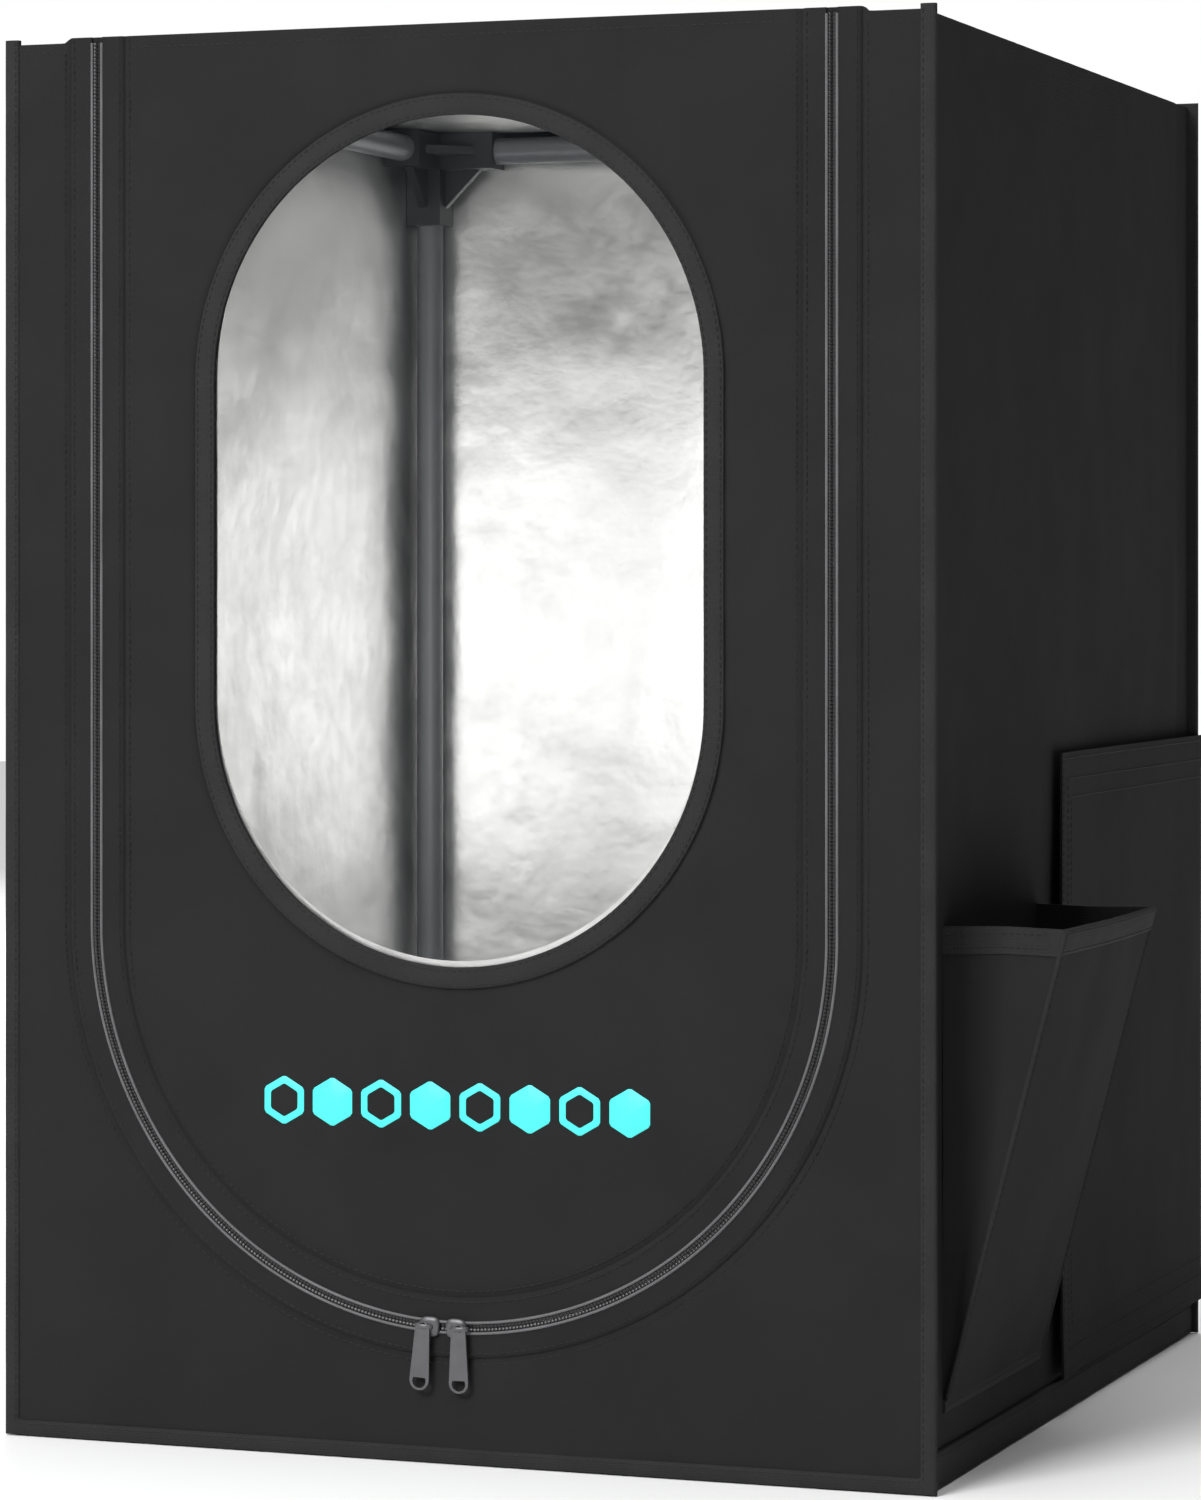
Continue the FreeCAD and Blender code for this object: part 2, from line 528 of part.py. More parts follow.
# ---------------------------------------------------------------- bellows pocket
def make_pocket():
    """A pocket on the right wall: a leaning front with a bound rim, and two folded gussets."""
    reach, height = value(f"{S}pocket_reach"), value(f"{S}pocket_height")
    lean = math.degrees(math.atan2(reach, height))
    length = f"sqrt({S}pocket_reach^2 + {S}pocket_height^2)"
    root_x = f"({WALL_OUTER} + {S}pocket_root)"
    y = f"({FRONT} + {S}pocket_front)"
    panel = box("pocket_cloth_sheet", f"{S}pocket_cloth", f"{S}pocket_width", f"({length})")
    keep(panel, "pocket_panel")
    rim_thickness = f"({S}pocket_cloth + 2 * {S}pocket_rim_proud)"
    outer = box("pocket_rim_outer", rim_thickness, f"{S}pocket_width", f"{S}pocket_rim",
                f"-{S}pocket_rim_proud", "0", f"({length} - {S}pocket_rim + {S}pocket_rim_proud)")
    slot = box("pocket_rim_slot", f"{S}pocket_cloth", f"({S}pocket_width + 2)", f"({S}pocket_rim)",
               "0", "-1", f"({length} - {S}pocket_rim)")
    rim = keep(cut("pocket_rim_cut", outer, slot), "pocket_rim")
    for piece in (panel, rim):
        piece.Placement.Rotation = FreeCAD.Rotation(FreeCAD.Vector(0, 1, 0), lean)
        move(piece, root_x, y, f"{S}pocket_bottom")
    for side in ("front", "rear"):
        made = doc.addObject("Part::Feature", f"{side}_gusset_sheet")
        made.Shape = gusset(side)
        keep(made, f"pocket_gusset_{side}")


def gusset(side):
    """One folded end of the pocket: a V in plan, widest at the rim and closed at the foot."""
    wall = value(WALL_OUTER)
    thick, root = value(f"{S}gusset_cloth"), value(f"{S}pocket_root")
    clear = value(f"{S}pocket_clearance + {S}pocket_rim_proud")
    front = value(FRONT) + value(f"{S}pocket_front")
    inward = 1 if side == "front" else -1
    edge = front if side == "front" else front + value(f"{S}pocket_width")
    low, high = value(f"{S}pocket_bottom"), value(f"{S}pocket_bottom + {S}pocket_height")

    def section(z):
        """The closed outline of the folded cloth at a height."""
        share = (z - low) / (high - low)
        reach = share * value(f"{S}pocket_reach") + root - clear
        fold = max(share * value(f"{S}gusset_fold"), thick)
        outline = [(0, 0), (reach / 2, fold), (reach, 0),
                   (reach, thick), (reach / 2, fold + thick), (0, thick)]
        points = [FreeCAD.Vector(wall + x, edge + inward * y, z) for x, y in outline]
        return Part.makePolygon([*points, points[0]])

    lifted = low + value(f"{S}gusset_lift")
    return Part.makeLoft([section(lifted), section(high)], True, True)


# ---------------------------------------------------------------- cable-port flap
def make_flap():
    """The flap over the cable port: it is sewn to the back and folds round the rear corner."""
    body = doc.addObject("PartDesign::Body", "flap_cloth_sheet")
    inner_front = f"({WALL_OUTER} + {S}flap_gap)"
    inner_rear = f"({S}tent_width / 2 + {S}flap_clearance)"
    y_front = f"({FLAP_FRONT})"
    y_bend = f"({BACK} - {BINDING_DEPTH})"
    outline = outlined(body, "flap_outline", "XY_Plane", [
        (inner_front, y_front), (f"({inner_front} + {S}flap_cloth)", y_front),
        (f"({inner_rear} + {S}flap_cloth)", y_bend), (f"({inner_rear} + {S}flap_cloth)", BACK),
        (inner_rear, BACK), (inner_rear, y_bend)], round_side=3)
    doc.recompute()
    pad(body, "flap_cloth_pad", outline, f"({S}flap_top - {S}flap_bottom)")
    move(keep(body, "side_flap"), "0", "0", f"{S}flap_bottom")
    strip_edge = f"({inner_rear} - {S}flap_clearance)"
    height = f"({S}flap_top - {S}flap_bottom)"
    keep(box("hinge_strip_sheet", f"{S}hinge_strip", f"{S}flap_cloth", height,
             f"({strip_edge} - {S}hinge_strip)", BACK, f"{S}flap_bottom"), "flap_hinge_strip")
    strip_height = f"({height} - 2 * {S}tape_strip_inset)"
    strip_y = f"({y_front} + {S}tape_strip_inset)"
    strip_z = f"({S}flap_bottom + {S}tape_strip_inset)"
    keep(box("hook_strip", f"{S}tape_strip_thickness", f"{S}tape_strip_width", strip_height,
             WALL_OUTER, strip_y, strip_z), "flap_hook_strip")
    loop = keep(box("loop_strip", f"{S}tape_strip_thickness", f"{S}tape_strip_width", strip_height),
                "flap_loop_strip")
    slope = f"(({inner_rear} - {inner_front}) / ({y_bend} - {y_front}))"
    lean = -math.degrees(math.atan(value(slope)))
    loop.Placement.Rotation = FreeCAD.Rotation(FreeCAD.Vector(0, 0, 1), lean)
    move(loop, f"({inner_front} + {S}tape_strip_inset * {slope} - {S}tape_strip_thickness)", strip_y,
         strip_z)


def write_parts():
    """Checks every object and writes each sub-part's file."""
    doc.recompute()
    failed = [f"{o.Name} {o.State}" for o in doc.Objects
              if "Invalid" in o.State or "Error" in o.State]
    failed += [f"{o.Label} has a bad shape" for o in kept if o.Shape.isNull() or not o.Shape.isValid()]
    if failed:
        raise SystemExit("failed: " + ", ".join(failed))
    os.makedirs("parts", exist_ok=True)
    for thing in kept:
        thing.Shape.exportStep(f"parts/{thing.Label}.step")
        print(thing.Label, len(thing.Shape.Solids), round(thing.Shape.Volume))


make_cover()
make_lining()
make_bindings()
make_frame()
make_door()
make_frame_zip()
for slider_side, slider_nose in (("left", 1), ("right", -1)):
    make_slider(slider_side, slider_nose)
    make_pull(slider_side, slider_nose)
make_pocket()
make_flap()
write_parts()
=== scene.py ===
import json
import math

import bmesh
import bpy
from bpy.props import FloatProperty, PointerProperty, StringProperty
from mathutils import Matrix, Vector, noise


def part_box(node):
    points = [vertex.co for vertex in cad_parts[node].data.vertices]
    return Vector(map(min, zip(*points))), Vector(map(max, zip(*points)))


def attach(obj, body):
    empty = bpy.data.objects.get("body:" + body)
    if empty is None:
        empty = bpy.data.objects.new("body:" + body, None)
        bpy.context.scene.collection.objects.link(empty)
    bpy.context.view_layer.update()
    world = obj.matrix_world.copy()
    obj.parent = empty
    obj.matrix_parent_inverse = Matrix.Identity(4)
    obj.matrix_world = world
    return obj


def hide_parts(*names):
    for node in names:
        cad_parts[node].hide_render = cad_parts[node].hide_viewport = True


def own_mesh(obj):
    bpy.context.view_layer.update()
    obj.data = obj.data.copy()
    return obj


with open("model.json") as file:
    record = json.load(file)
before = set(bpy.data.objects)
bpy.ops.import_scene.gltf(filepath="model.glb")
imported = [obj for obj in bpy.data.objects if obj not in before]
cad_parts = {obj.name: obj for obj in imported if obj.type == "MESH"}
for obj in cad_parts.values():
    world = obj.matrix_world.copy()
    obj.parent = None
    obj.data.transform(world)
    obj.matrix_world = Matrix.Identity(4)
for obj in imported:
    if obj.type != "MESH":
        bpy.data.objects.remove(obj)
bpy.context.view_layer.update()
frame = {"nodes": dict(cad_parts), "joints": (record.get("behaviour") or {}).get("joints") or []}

bl_info = {
    "name": "Printer Enclosure Tent",
    "version": (1, 0, 0),
    "blender": (4, 5, 0),
    "location": "View3D > Sidebar > Tent",
    "description": "Builds the sewn cover, the zip, the pocket and the stage of an enclosure tent",
    "category": "Object",
}

MM = 0.001
X, Y, Z = 0, 1, 2
RIGHT, UP, TO_FRONT = Vector((1, 0, 0)), Vector((0, 0, 1)), Vector((0, -1, 0))


def low(node, axis):
    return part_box(node)[0][axis]


def high(node, axis):
    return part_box(node)[1][axis]


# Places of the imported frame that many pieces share.
FRONT = low("front_binding", Y)
BACK = high("rear_binding", Y)
HALF_WIDTH = high("front_binding", X)
TOP = high("front_binding", Z)
BINDING_DEPTH = high("front_binding", Y) - FRONT
BINDING_WIDTH = HALF_WIDTH - high("front_panel", X)
BOTTOM_BINDING = low("front_panel", Z)
CLOTH_FRONT = low("front_panel", Y)
CLOTH = high("roof_panel", Z) - low("roof_panel", Z)
ROOF_TOP = high("roof_panel", Z)
WALL_OUTER = high("right_panel", X)
WALL_INNER = low("right_panel", X)
WALL_FRONT, WALL_BACK = low("right_panel", Y), high("right_panel", Y)
DOOR_EDGE = high("door_panel", X)
FRAME_EDGE = high("zipper_chain_frame", X)
ZIP_RADIUS = (DOOR_EDGE + FRAME_EDGE) / 2
ARC_Z = low("door_panel", Z) + DOOR_EDGE
WINDOW_OUT = high("window_binding", X)
WINDOW_LOW = low("window_binding", Z) + WINDOW_OUT
WINDOW_HIGH = high("window_binding", Z) - WINDOW_OUT
JOINTS = {joint["name"]: joint for joint in frame["joints"]}


# ---------------------------------------------------------------- settings
class CoverSettings(bpy.types.PropertyGroup):
    cloth: StringProperty(name="Cloth", description="Colour of the coated cloth", default="#202021")
    tape: StringProperty(name="Binding", description="Colour of the binding tape", default="#242425")
    thread: StringProperty(name="Thread", description="Colour of the sewing thread", default="#151516")
    foil: StringProperty(name="Foil", description="Colour of the lining", default="#DCDCDB")
    hooks: StringProperty(name="Hook tape", description="Colour of the hook and loop tape",
                          default="#202021")
    ripple: FloatProperty(name="Ripple", description="Height of the slack in a wall",
                          default=1.6 * MM, unit="LENGTH")
    seam_depth: FloatProperty(name="Seam depth", description="How far a seam pulls the cloth in",
                              default=0.9 * MM, unit="LENGTH")
    stitch: FloatProperty(name="Stitch", description="Length of one stitch", default=3.2 * MM,
                          unit="LENGTH")
    facing: FloatProperty(name="Zip facing", description="Width of the facing on each side of the zip",
                          default=15 * MM, unit="LENGTH")


class ZipSettings(bpy.types.PropertyGroup):
    coil: StringProperty(name="Coil", description="Colour of the coil", default="#161617")
    # The edge cord's pale grey is a painted highlight: the light caught along the tape's folded edges.
    edge: StringProperty(name="Edge cord", description="Colour of the cord beside the coil",
                         default="#5A5A5C")
    metal: StringProperty(name="Slider", description="Colour of the slider and the pull",
                          default="#565658")
    pitch: FloatProperty(name="Coil pitch", description="Distance between two turns of the coil",
                         default=1.9 * MM, unit="LENGTH")


class WindowSettings(bpy.types.PropertyGroup):
    border: FloatProperty(name="Border", description="Width of the border round the window",
                          default=10.5 * MM, unit="LENGTH")
    film: StringProperty(name="Film", description="Colour of the clear film", default="#23282B")
    print_ink: StringProperty(name="Print", description="Colour of the print", default="#46E7E1")


class FrameSettings(bpy.types.PropertyGroup):
    pole: StringProperty(name="Pole", description="Colour of the poles", default="#56585B")
    connector: StringProperty(name="Connector", description="Colour of the connectors",
                              default="#101014")


class StageSettings(bpy.types.PropertyGroup):
    floor: StringProperty(name="Floor", description="Colour of the floor", default="#F4F4F4")
    lens: FloatProperty(name="Lens", description="Focal length in millimetres", default=118.7)
    drop: FloatProperty(name="Shift", description="Vertical shift of the lens", default=-0.1193)
    key_power: FloatProperty(name="Key light", description="Power of the key light in watts",
                             default=138)
    top_power: FloatProperty(name="Top light", description="Strength of the light from above",
                             default=1.85)
    inside_power: FloatProperty(name="Inside light", description="Power of the light in the tent",
                                default=1.5)


GROUPS = {"tent_cover": CoverSettings, "tent_zip": ZipSettings, "tent_window": WindowSettings,
          "tent_frame": FrameSettings, "tent_stage": StageSettings}


def cover():
    return bpy.context.scene.tent_cover


# ---------------------------------------------------------------- materials
def linear(colour):
    """The linear RGBA of an sRGB hex colour."""
    channels = [int(colour[n:n + 2], 16) / 255 for n in (1, 3, 5)]
    return (*[c / 12.92 if c <= 0.04045 else ((c + 0.055) / 1.055) ** 2.4 for c in channels], 1)


def add_node(tree, kind, links=None, **settings):
    """Adds a node, sets its properties or its unlinked sockets, and links its inputs."""
    node = tree.nodes.new(kind)
    for name, setting in settings.items():
        if hasattr(node, name):
            setattr(node, name, setting)
        else:
            node.inputs[name.replace("_", " ")].default_value = setting
    for name, source in (links or {}).items():
        tree.links.new(source, node.inputs[name])
    return node


def start_material(name, **surface):
    """A new material with a Principled shader, whose constant sockets are set directly."""
    made = bpy.data.materials.new(name)
    made.use_nodes = True
    shader = made.node_tree.nodes["Principled BSDF"]
    for socket, setting in surface.items():
        shader.inputs[socket.replace("_", " ")].default_value = setting
    return made, made.node_tree, shader


def object_place(tree):
    return add_node(tree, "ShaderNodeTexCoord").outputs["Object"]


def grain(tree, place, size, detail):
    """Random heights whose lumps are about this size in metres."""
    return add_node(tree, "ShaderNodeTexNoise", {"Vector": place}, Scale=1 / size,
                    Detail=detail).outputs["Fac"]


def dyed(name, colour, spread, size, **surface):
    """A material whose shade changes slowly, with its tree, its shader and its place."""
    made, tree, shader = start_material(name, **surface)
    place = object_place(tree)
    colour_patches(tree, shader, place, linear(colour), spread, size)
    return made, tree, shader, place


def waves(spacing):
    """The Wave texture's scale for bands that are this many metres apart."""
    return 2 * math.pi / (20 * spacing)


def colour_patches(tree, shader, place, base, spread, size):
    """Slow changes of shade over a surface, as dye and handling leave them."""
    patches = add_node(tree, "ShaderNodeTexNoise", {"Vector": place}, Scale=1 / size, Detail=4.0)
    dark = [channel * (1 - spread) for channel in base[:3]]
    light = [channel * (1 + spread) for channel in base[:3]]
    ramp = add_node(tree, "ShaderNodeValToRGB", {"Fac": patches.outputs["Fac"]})
    ramp.color_ramp.elements[0].position = 0.3
    ramp.color_ramp.elements[1].position = 0.7
    ramp.color_ramp.elements[0].color = (*dark, 1)
    ramp.color_ramp.elements[1].color = (*light, 1)
    tree.links.new(ramp.outputs["Color"], shader.inputs["Base Color"])


def bump_chain(tree, shader, layers):
    """Stacks bumps: each layer is a height, a strength and a distance in metres."""
    normal = None
    for height, strength, distance in layers:
        links = {"Height": height}
        if normal:
            links["Normal"] = normal
        bump = add_node(tree, "ShaderNodeBump", links, Strength=strength, Distance=distance)
        normal = bump.outputs["Normal"]
    tree.links.new(normal, shader.inputs["Normal"])


def weave(tree, place, spacing):
    """Threads along all three axes, of which any flat panel shows two."""
    total = None
    for axis in "XYZ":
        thread = add_node(tree, "ShaderNodeTexWave", {"Vector": place}, bands_direction=axis,
                          Scale=waves(spacing), Distortion=0.6, Detail=1.0).outputs["Fac"]
        if total:
            both = add_node(tree, "ShaderNodeMath", operation="ADD")
            tree.links.new(thread, both.inputs[0])
            tree.links.new(total, both.inputs[1])
            thread = both.outputs[0]
        total = thread
    return total


def oxford_cloth():
    """Polyester oxford, woven and coated on its face: a dull black with a fine pebbled grain."""
    made, tree, shader, place = dyed("coated_oxford_cloth", cover().cloth, 0.09, 60 * MM,
                                     Roughness=0.95, IOR=1.3)
    pebbles = grain(tree, place, 1.6 * MM, 3.0)
    # The real thread is 0.5 mm apart, and is drawn at 1.3 mm so that it shows.
    threads = weave(tree, place, 1.3 * MM)
    slack = grain(tree, place, 26 * MM, 2.0)
    bump_chain(tree, shader, [(slack, 0.25, 0.8 * MM), (threads, 0.22, 0.12 * MM),
                              (pebbles, 0.35, 0.25 * MM)])
    rough = add_node(tree, "ShaderNodeMapRange", {"Value": slack}, To_Min=0.9, To_Max=1.0)
    tree.links.new(rough.outputs["Result"], shader.inputs["Roughness"])
    return made


def binding_tape():
    """Woven polyester tape: ribs across it, and a slight shine on its folded edge."""
    made, tree, shader, place = dyed("woven_binding_tape", cover().tape, 0.12, 30 * MM,
                                     Roughness=0.88, IOR=1.35)
    # Ribs of 0.6 mm, drawn at 1.4 mm so that they show.
    ribs = weave(tree, place, 1.4 * MM)
    bump_chain(tree, shader, [(grain(tree, place, 9 * MM, 2.0), 0.35, 0.7 * MM),
                              (ribs, 0.4, 0.2 * MM)])
    return made


def sewing_thread():
    """Twisted bonded polyester: matt, a little darker than the cloth."""
    made, tree, shader, place = dyed("bonded_sewing_thread", cover().thread, 0.2, 5 * MM,
                                     Roughness=0.7, IOR=1.45)
    twist = add_node(tree, "ShaderNodeTexWave", {"Vector": place}, bands_direction="DIAGONAL",
                     Scale=waves(0.8 * MM))
    bump_chain(tree, shader, [(twist.outputs["Fac"], 0.4, 0.1 * MM)])
    return made


def foil_lining():
    """Aluminised film laminated to the cloth: bright, with soft crinkles and a mirror's haze."""
    made, tree, shader, place = dyed("aluminised_film", cover().foil, 0.05, 90 * MM,
                                     Metallic=1.0, Roughness=0.34)
    folds = add_node(tree, "ShaderNodeTexVoronoi", {"Vector": place}, Scale=1 / (34 * MM),
                     feature="SMOOTH_F1")
    crinkle = grain(tree, place, 12 * MM, 5.0)
    bump_chain(tree, shader, [(folds.outputs["Distance"], 0.3, 3 * MM), (crinkle, 0.3, 1.2 * MM)])
    haze = add_node(tree, "ShaderNodeMapRange", {"Value": crinkle}, To_Min=0.26, To_Max=0.46)
    tree.links.new(haze.outputs["Result"], shader.inputs["Roughness"])
    return made


def clear_film():
    """Plasticised vinyl sheet: clear, with a slow waviness in what it reflects."""
    made, tree, shader = start_material("clear_vinyl_film", Roughness=0.05, IOR=1.53, Alpha=0.09)
    shader.inputs["Base Color"].default_value = linear(bpy.context.scene.tent_window.film)
    wavy = grain(tree, object_place(tree), 70 * MM, 1.0)
    bump_chain(tree, shader, [(wavy, 0.3, 2 * MM)])
    return made


def painted_highlight_zip_edge():
    """The turned edge of the zip's tape, in a pale grey that is a painted highlight: it stands for the
    light caught along the folded edge.
    """
    made, tree, shader, place = dyed("zip_tape_edge_painted_highlight", bpy.context.scene.tent_zip.edge, 0.18,
                                     22 * MM, Roughness=0.6, IOR=1.5)
    bump_chain(tree, shader, [(weave(tree, place, 1.2 * MM), 0.35, 0.12 * MM)])
    return made


def hook_tape():
    """Hook-and-loop tape: a dense black nap of nylon."""
    made, tree, shader, place = dyed("hook_and_loop_tape", cover().hooks, 0.3, 4 * MM,
                                     Roughness=0.85, Sheen_Weight=0.5)
    nap = add_node(tree, "ShaderNodeTexVoronoi", {"Vector": place}, Scale=1 / (1.3 * MM))
    bump_chain(tree, shader, [(nap.outputs["Distance"], 0.8, 0.6 * MM)])
    return made


def grained(name, colour, spread, size, bump, **surface):
    """A plain material under one fine grain: bump is its size, detail, strength and depth."""
    made, tree, shader, place = dyed(name, colour, spread, size, **surface)
    lump, detail, strength, depth = bump
    bump_chain(tree, shader, [(grain(tree, place, lump, detail), strength, depth)])
    return made


def zip_coil():
    """Monofilament coil: black nylon with a tight highlight on every turn."""
    return grained("nylon_zip_coil", bpy.context.scene.tent_zip.coil, 0.15, 8 * MM,
                   (1.2 * MM, 2.0, 0.2, 0.1 * MM), Roughness=0.38, IOR=1.53)


def slider_metal():
    """Die-cast zinc under grey lacquer: satin, rounded by tumbling, with a few rubbed spots."""
    return grained("lacquered_zinc", bpy.context.scene.tent_zip.metal, 0.08, 6 * MM,
                   (1.5 * MM, 2.0, 0.12, 0.1 * MM), Metallic=0.35, Roughness=0.4,
                   Coat_Weight=0.2, Coat_Roughness=0.3)


def print_ink():
    """Screen-printed ink: opaque and matt, laid over the grain of the cloth."""
    return grained("screen_print_ink", bpy.context.scene.tent_window.print_ink, 0.03, 12 * MM,
                   (1.6 * MM, 3.0, 0.2, 0.15 * MM), Roughness=0.5, IOR=1.5)


def pole_paint():
    """Steel tube, powder-coated grey: a fine orange peel under a satin film."""
    return grained("powder_coated_steel", bpy.context.scene.tent_frame.pole, 0.05, 40 * MM,
                   (1.4 * MM, 1.0, 0.15, 0.1 * MM), Roughness=0.4, IOR=1.5)


def moulded_abs():
    """Injection-moulded ABS: black, spark-eroded grain, slightly shiny."""
    return grained("moulded_abs", bpy.context.scene.tent_frame.connector, 0.1, 25 * MM,
                   (0.9 * MM, 2.0, 0.25, 0.1 * MM), Roughness=0.45, IOR=1.54)


FINISHES = {
    "cloth": (oxford_cloth, "oxford_cloth"), "tape": (binding_tape, "binding_tape"),
    "thread": (sewing_thread, "binding_tape"), "foil": (foil_lining, "foil_lining"),
    "film": (clear_film, "clear_film"), "coil": (zip_coil, "zip_coil"),
    "painted_highlight_zip_edge": (painted_highlight_zip_edge, "zip_tape"), "metal": (slider_metal, "zip_metal"),
    "ink": (print_ink, "cyan_print"), "pole": (pole_paint, "pole"),
    "abs": (moulded_abs, "connector"), "hooks": (hook_tape, "hook_and_loop"),
}
made_finishes = {}


def finish(name):
    """The material of that name, made once."""
    if name not in made_finishes:
        made_finishes[name] = FINISHES[name][0]()
    return made_finishes[name]


# ---------------------------------------------------------------- mesh tools
class Soup:
    """Vertices and faces that are gathered before they become one piece."""

    def __init__(self):
        self.points = []
        self.faces = []

    def add(self, points, faces):
        start = len(self.points)
        self.points.extend(points)
        self.faces.extend([tuple(start + n for n in face) for face in faces])

    def grid(self, rows, closed_rows=False, closed_across=False, skip=None):
        """Faces between neighbouring rows of points, apart from the cells that skip names."""
        start = len(self.points)
        across = len(rows[0])
        for row in rows:
            self.points.extend(row)
        for r in range(len(rows) if closed_rows else len(rows) - 1):
            for c in range(across if closed_across else across - 1):
                if skip and skip(r, c):
                    continue
                below, beside = (r + 1) % len(rows), (c + 1) % across
                self.faces.append((start + r * across + c, start + r * across + beside,
                                   start + below * across + beside, start + below * across + c))

    def cap(self, row):
        """A fan over a ring of points."""
        start = len(self.points)
        self.points.extend(row)
        self.faces.append(tuple(range(start, start + len(row))))


def piece(name, soup, material, body, replaces=(), weld=0.02 * MM, smooth=True, thickness=0,
          outward=None):
    """Makes an object of a soup, and puts it on its body.

    A thickness turns a sheet into a closed one, which grows away from the side that outward
    points to."""
    mesh = bpy.data.meshes.new(name)
    mesh.from_pydata([tuple(p) for p in soup.points], [], soup.faces)
    work = bmesh.new()
    work.from_mesh(mesh)
    bmesh.ops.remove_doubles(work, verts=work.verts, dist=weld)
    bmesh.ops.recalc_face_normals(work, faces=work.faces)
    if thickness:
        work.normal_update()
        facing = sum((f.normal * f.calc_area() for f in work.faces), Vector())
        if facing.dot(outward) < 0:
            bmesh.ops.reverse_faces(work, faces=work.faces)
        bmesh.ops.solidify(work, geom=work.faces[:], thickness=thickness)
        bmesh.ops.recalc_face_normals(work, faces=work.faces)
    work.to_mesh(mesh)
    work.free()
    mesh.validate()
    mesh.shade_smooth() if smooth else mesh.shade_flat()
    if smooth:
        mesh.set_sharp_from_angle(angle=math.radians(42))
    made = bpy.data.objects.new(name, mesh)
    bpy.context.scene.collection.objects.link(made)
    made.data.materials.append(finish(material))
    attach(made, body)
    if replaces:
        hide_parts(*replaces)
    return made


def sweep(soup, frames, profile, closed_path=False, cap=True):
    """Carries a closed profile of (along, out) pairs along frames of (place, along, out)."""
    rows = [[place + along * a + out * o for a, o in profile] for place, along, out in frames]
    soup.grid(rows, closed_rows=closed_path, closed_across=True)
    if cap and not closed_path:
        soup.cap(rows[0])
        soup.cap(rows[-1][::-1])


def rounded_profile(width, thickness, radius, crown=0.0, steps=3):
    """A rounded rectangle from 0 to width along, and from -thickness to 0 out."""
    corners = ((radius, -radius, 90), (radius, radius - thickness, 180),
               (width - radius, radius - thickness, 270), (width - radius, -radius, 0))
    points = []
    for along, out, start in corners:
        for n in range(steps + 1):
            turn = math.radians(start + 90 * n / steps)
            points.append((along + radius * math.cos(turn), out + radius * math.sin(turn)))
    points.append((width * 0.72, crown * 0.75))
    points.append((width * 0.5, crown))
    points.append((width * 0.28, crown * 0.75))
    return points


def round_profile(radius, sides=8, out=0.0, along=0.0):
    return [(along + radius * math.cos(2 * math.pi * n / sides),
             out + radius * math.sin(2 * math.pi * n / sides)) for n in range(sides)]


def ripple(u, v, wave, seed):
    """A slow random height from -1 to 1 that is the same in each run."""
    return noise.noise(Vector((u / wave, v / wave, seed)))


def smooth_step(x):
    x = min(max(x, 0), 1)
    return x * x * (3 - 2 * x)


def dent(distance, width):
    """1 on a seam, and nothing a few widths away from it."""
    return math.exp(-(distance / width) ** 2)


def pucker(along, distance, seed, reach=9 * MM):
    """The small gathers that stitching leaves beside a seam."""
    return ripple(along, distance * 0.25, 7 * MM, seed) * math.exp(-abs(distance) / reach)


def spread(start, end, step):
    """Even values from start to end, about a step apart."""
    count = max(1, round(abs(end - start) / step))
    return [start + (end - start) * n / count for n in range(count + 1)]


def along_path(path, pitch):
    """Points, directions and normals, a pitch apart, on a path of (place, normal) pairs."""
    travelled, wanted, found = 0.0, pitch / 2, []
    for (a, normal_a), (b, normal_b) in zip(path, path[1:]):
        length = (b - a).length
        while length and wanted <= travelled + length:
            share = (wanted - travelled) / length
            found.append((a.lerp(b, share), (b - a).normalized(), normal_a.lerp(normal_b, share)))
            wanted += pitch
        travelled += length
    return found


def stitches(soup, path, length=None, thick=0.38 * MM):
    """A row of stitches: each is a short thread that dips into the cloth at both ends."""
    length = length or cover().stitch
    for place, along, normal in along_path(path, length * 1.25):
        side = along.cross(normal) * thick
        half = along * length / 2
        lift = normal * thick
        soup.add([place - half - lift * 0.6, place - half * 0.55 + side, place - half * 0.55 + lift,
                  place - half * 0.55 - side, place + half * 0.55 + side, place + half * 0.55 + lift,
                  place + half * 0.55 - side, place + half - lift * 0.6],
                 [(0, 2, 1), (0, 3, 2), (1, 2, 5, 4), (2, 3, 6, 5), (4, 5, 7), (5, 6, 7)])


def sew(name, body, *paths):
    """One piece that holds a row of stitches along every path."""
    threads = Soup()
    for path in paths:
        stitches(threads, path)
    return piece(name, threads, "thread", body, weld=0)


def toward_edge(place, away, half, foot):
    """Where a line out from the zip meets the side of the front, or its foot."""
    if away.z == 0:
        return Vector((half * away.x, 0, place.z))
    share = min(abs(away.z), abs(away.x)) / max(abs(away.z), abs(away.x))
    turn = math.atan(share) / (math.pi / 4)
    if abs(away.x) > abs(away.z):
        return Vector((math.copysign(half, away.x), 0, ARC_Z + (foot - ARC_Z) * turn))
    return Vector((math.copysign(half, away.x) * turn, 0, foot))


def split_at(values, cuts, near):
    """The values with the cuts among them, and none that is too near a cut."""
    return sorted([v for v in values if min(abs(v - c) for c in cuts) > near] + list(cuts))


def zip_frames(top, step):
    """Places on the zip's centre line with the direction away from the door, from the top left
    round the foot to the top right."""
    down = spread(top, ARC_Z, step)
    turns = 4 * round(math.pi * ZIP_RADIUS / step / 4)
    frames = [(Vector((-ZIP_RADIUS, FRONT, z)), -RIGHT, TO_FRONT) for z in down[:-1]]
    for n in range(turns + 1):
        turn = math.pi * n / turns
        away = Vector((-math.cos(turn), 0, -math.sin(turn)))
        frames.append((Vector((0, FRONT, ARC_Z)) + away * ZIP_RADIUS, away, TO_FRONT))
    frames += [(Vector((ZIP_RADIUS, FRONT, z)), RIGHT, TO_FRONT) for z in reversed(down[:-1])]
    return frames


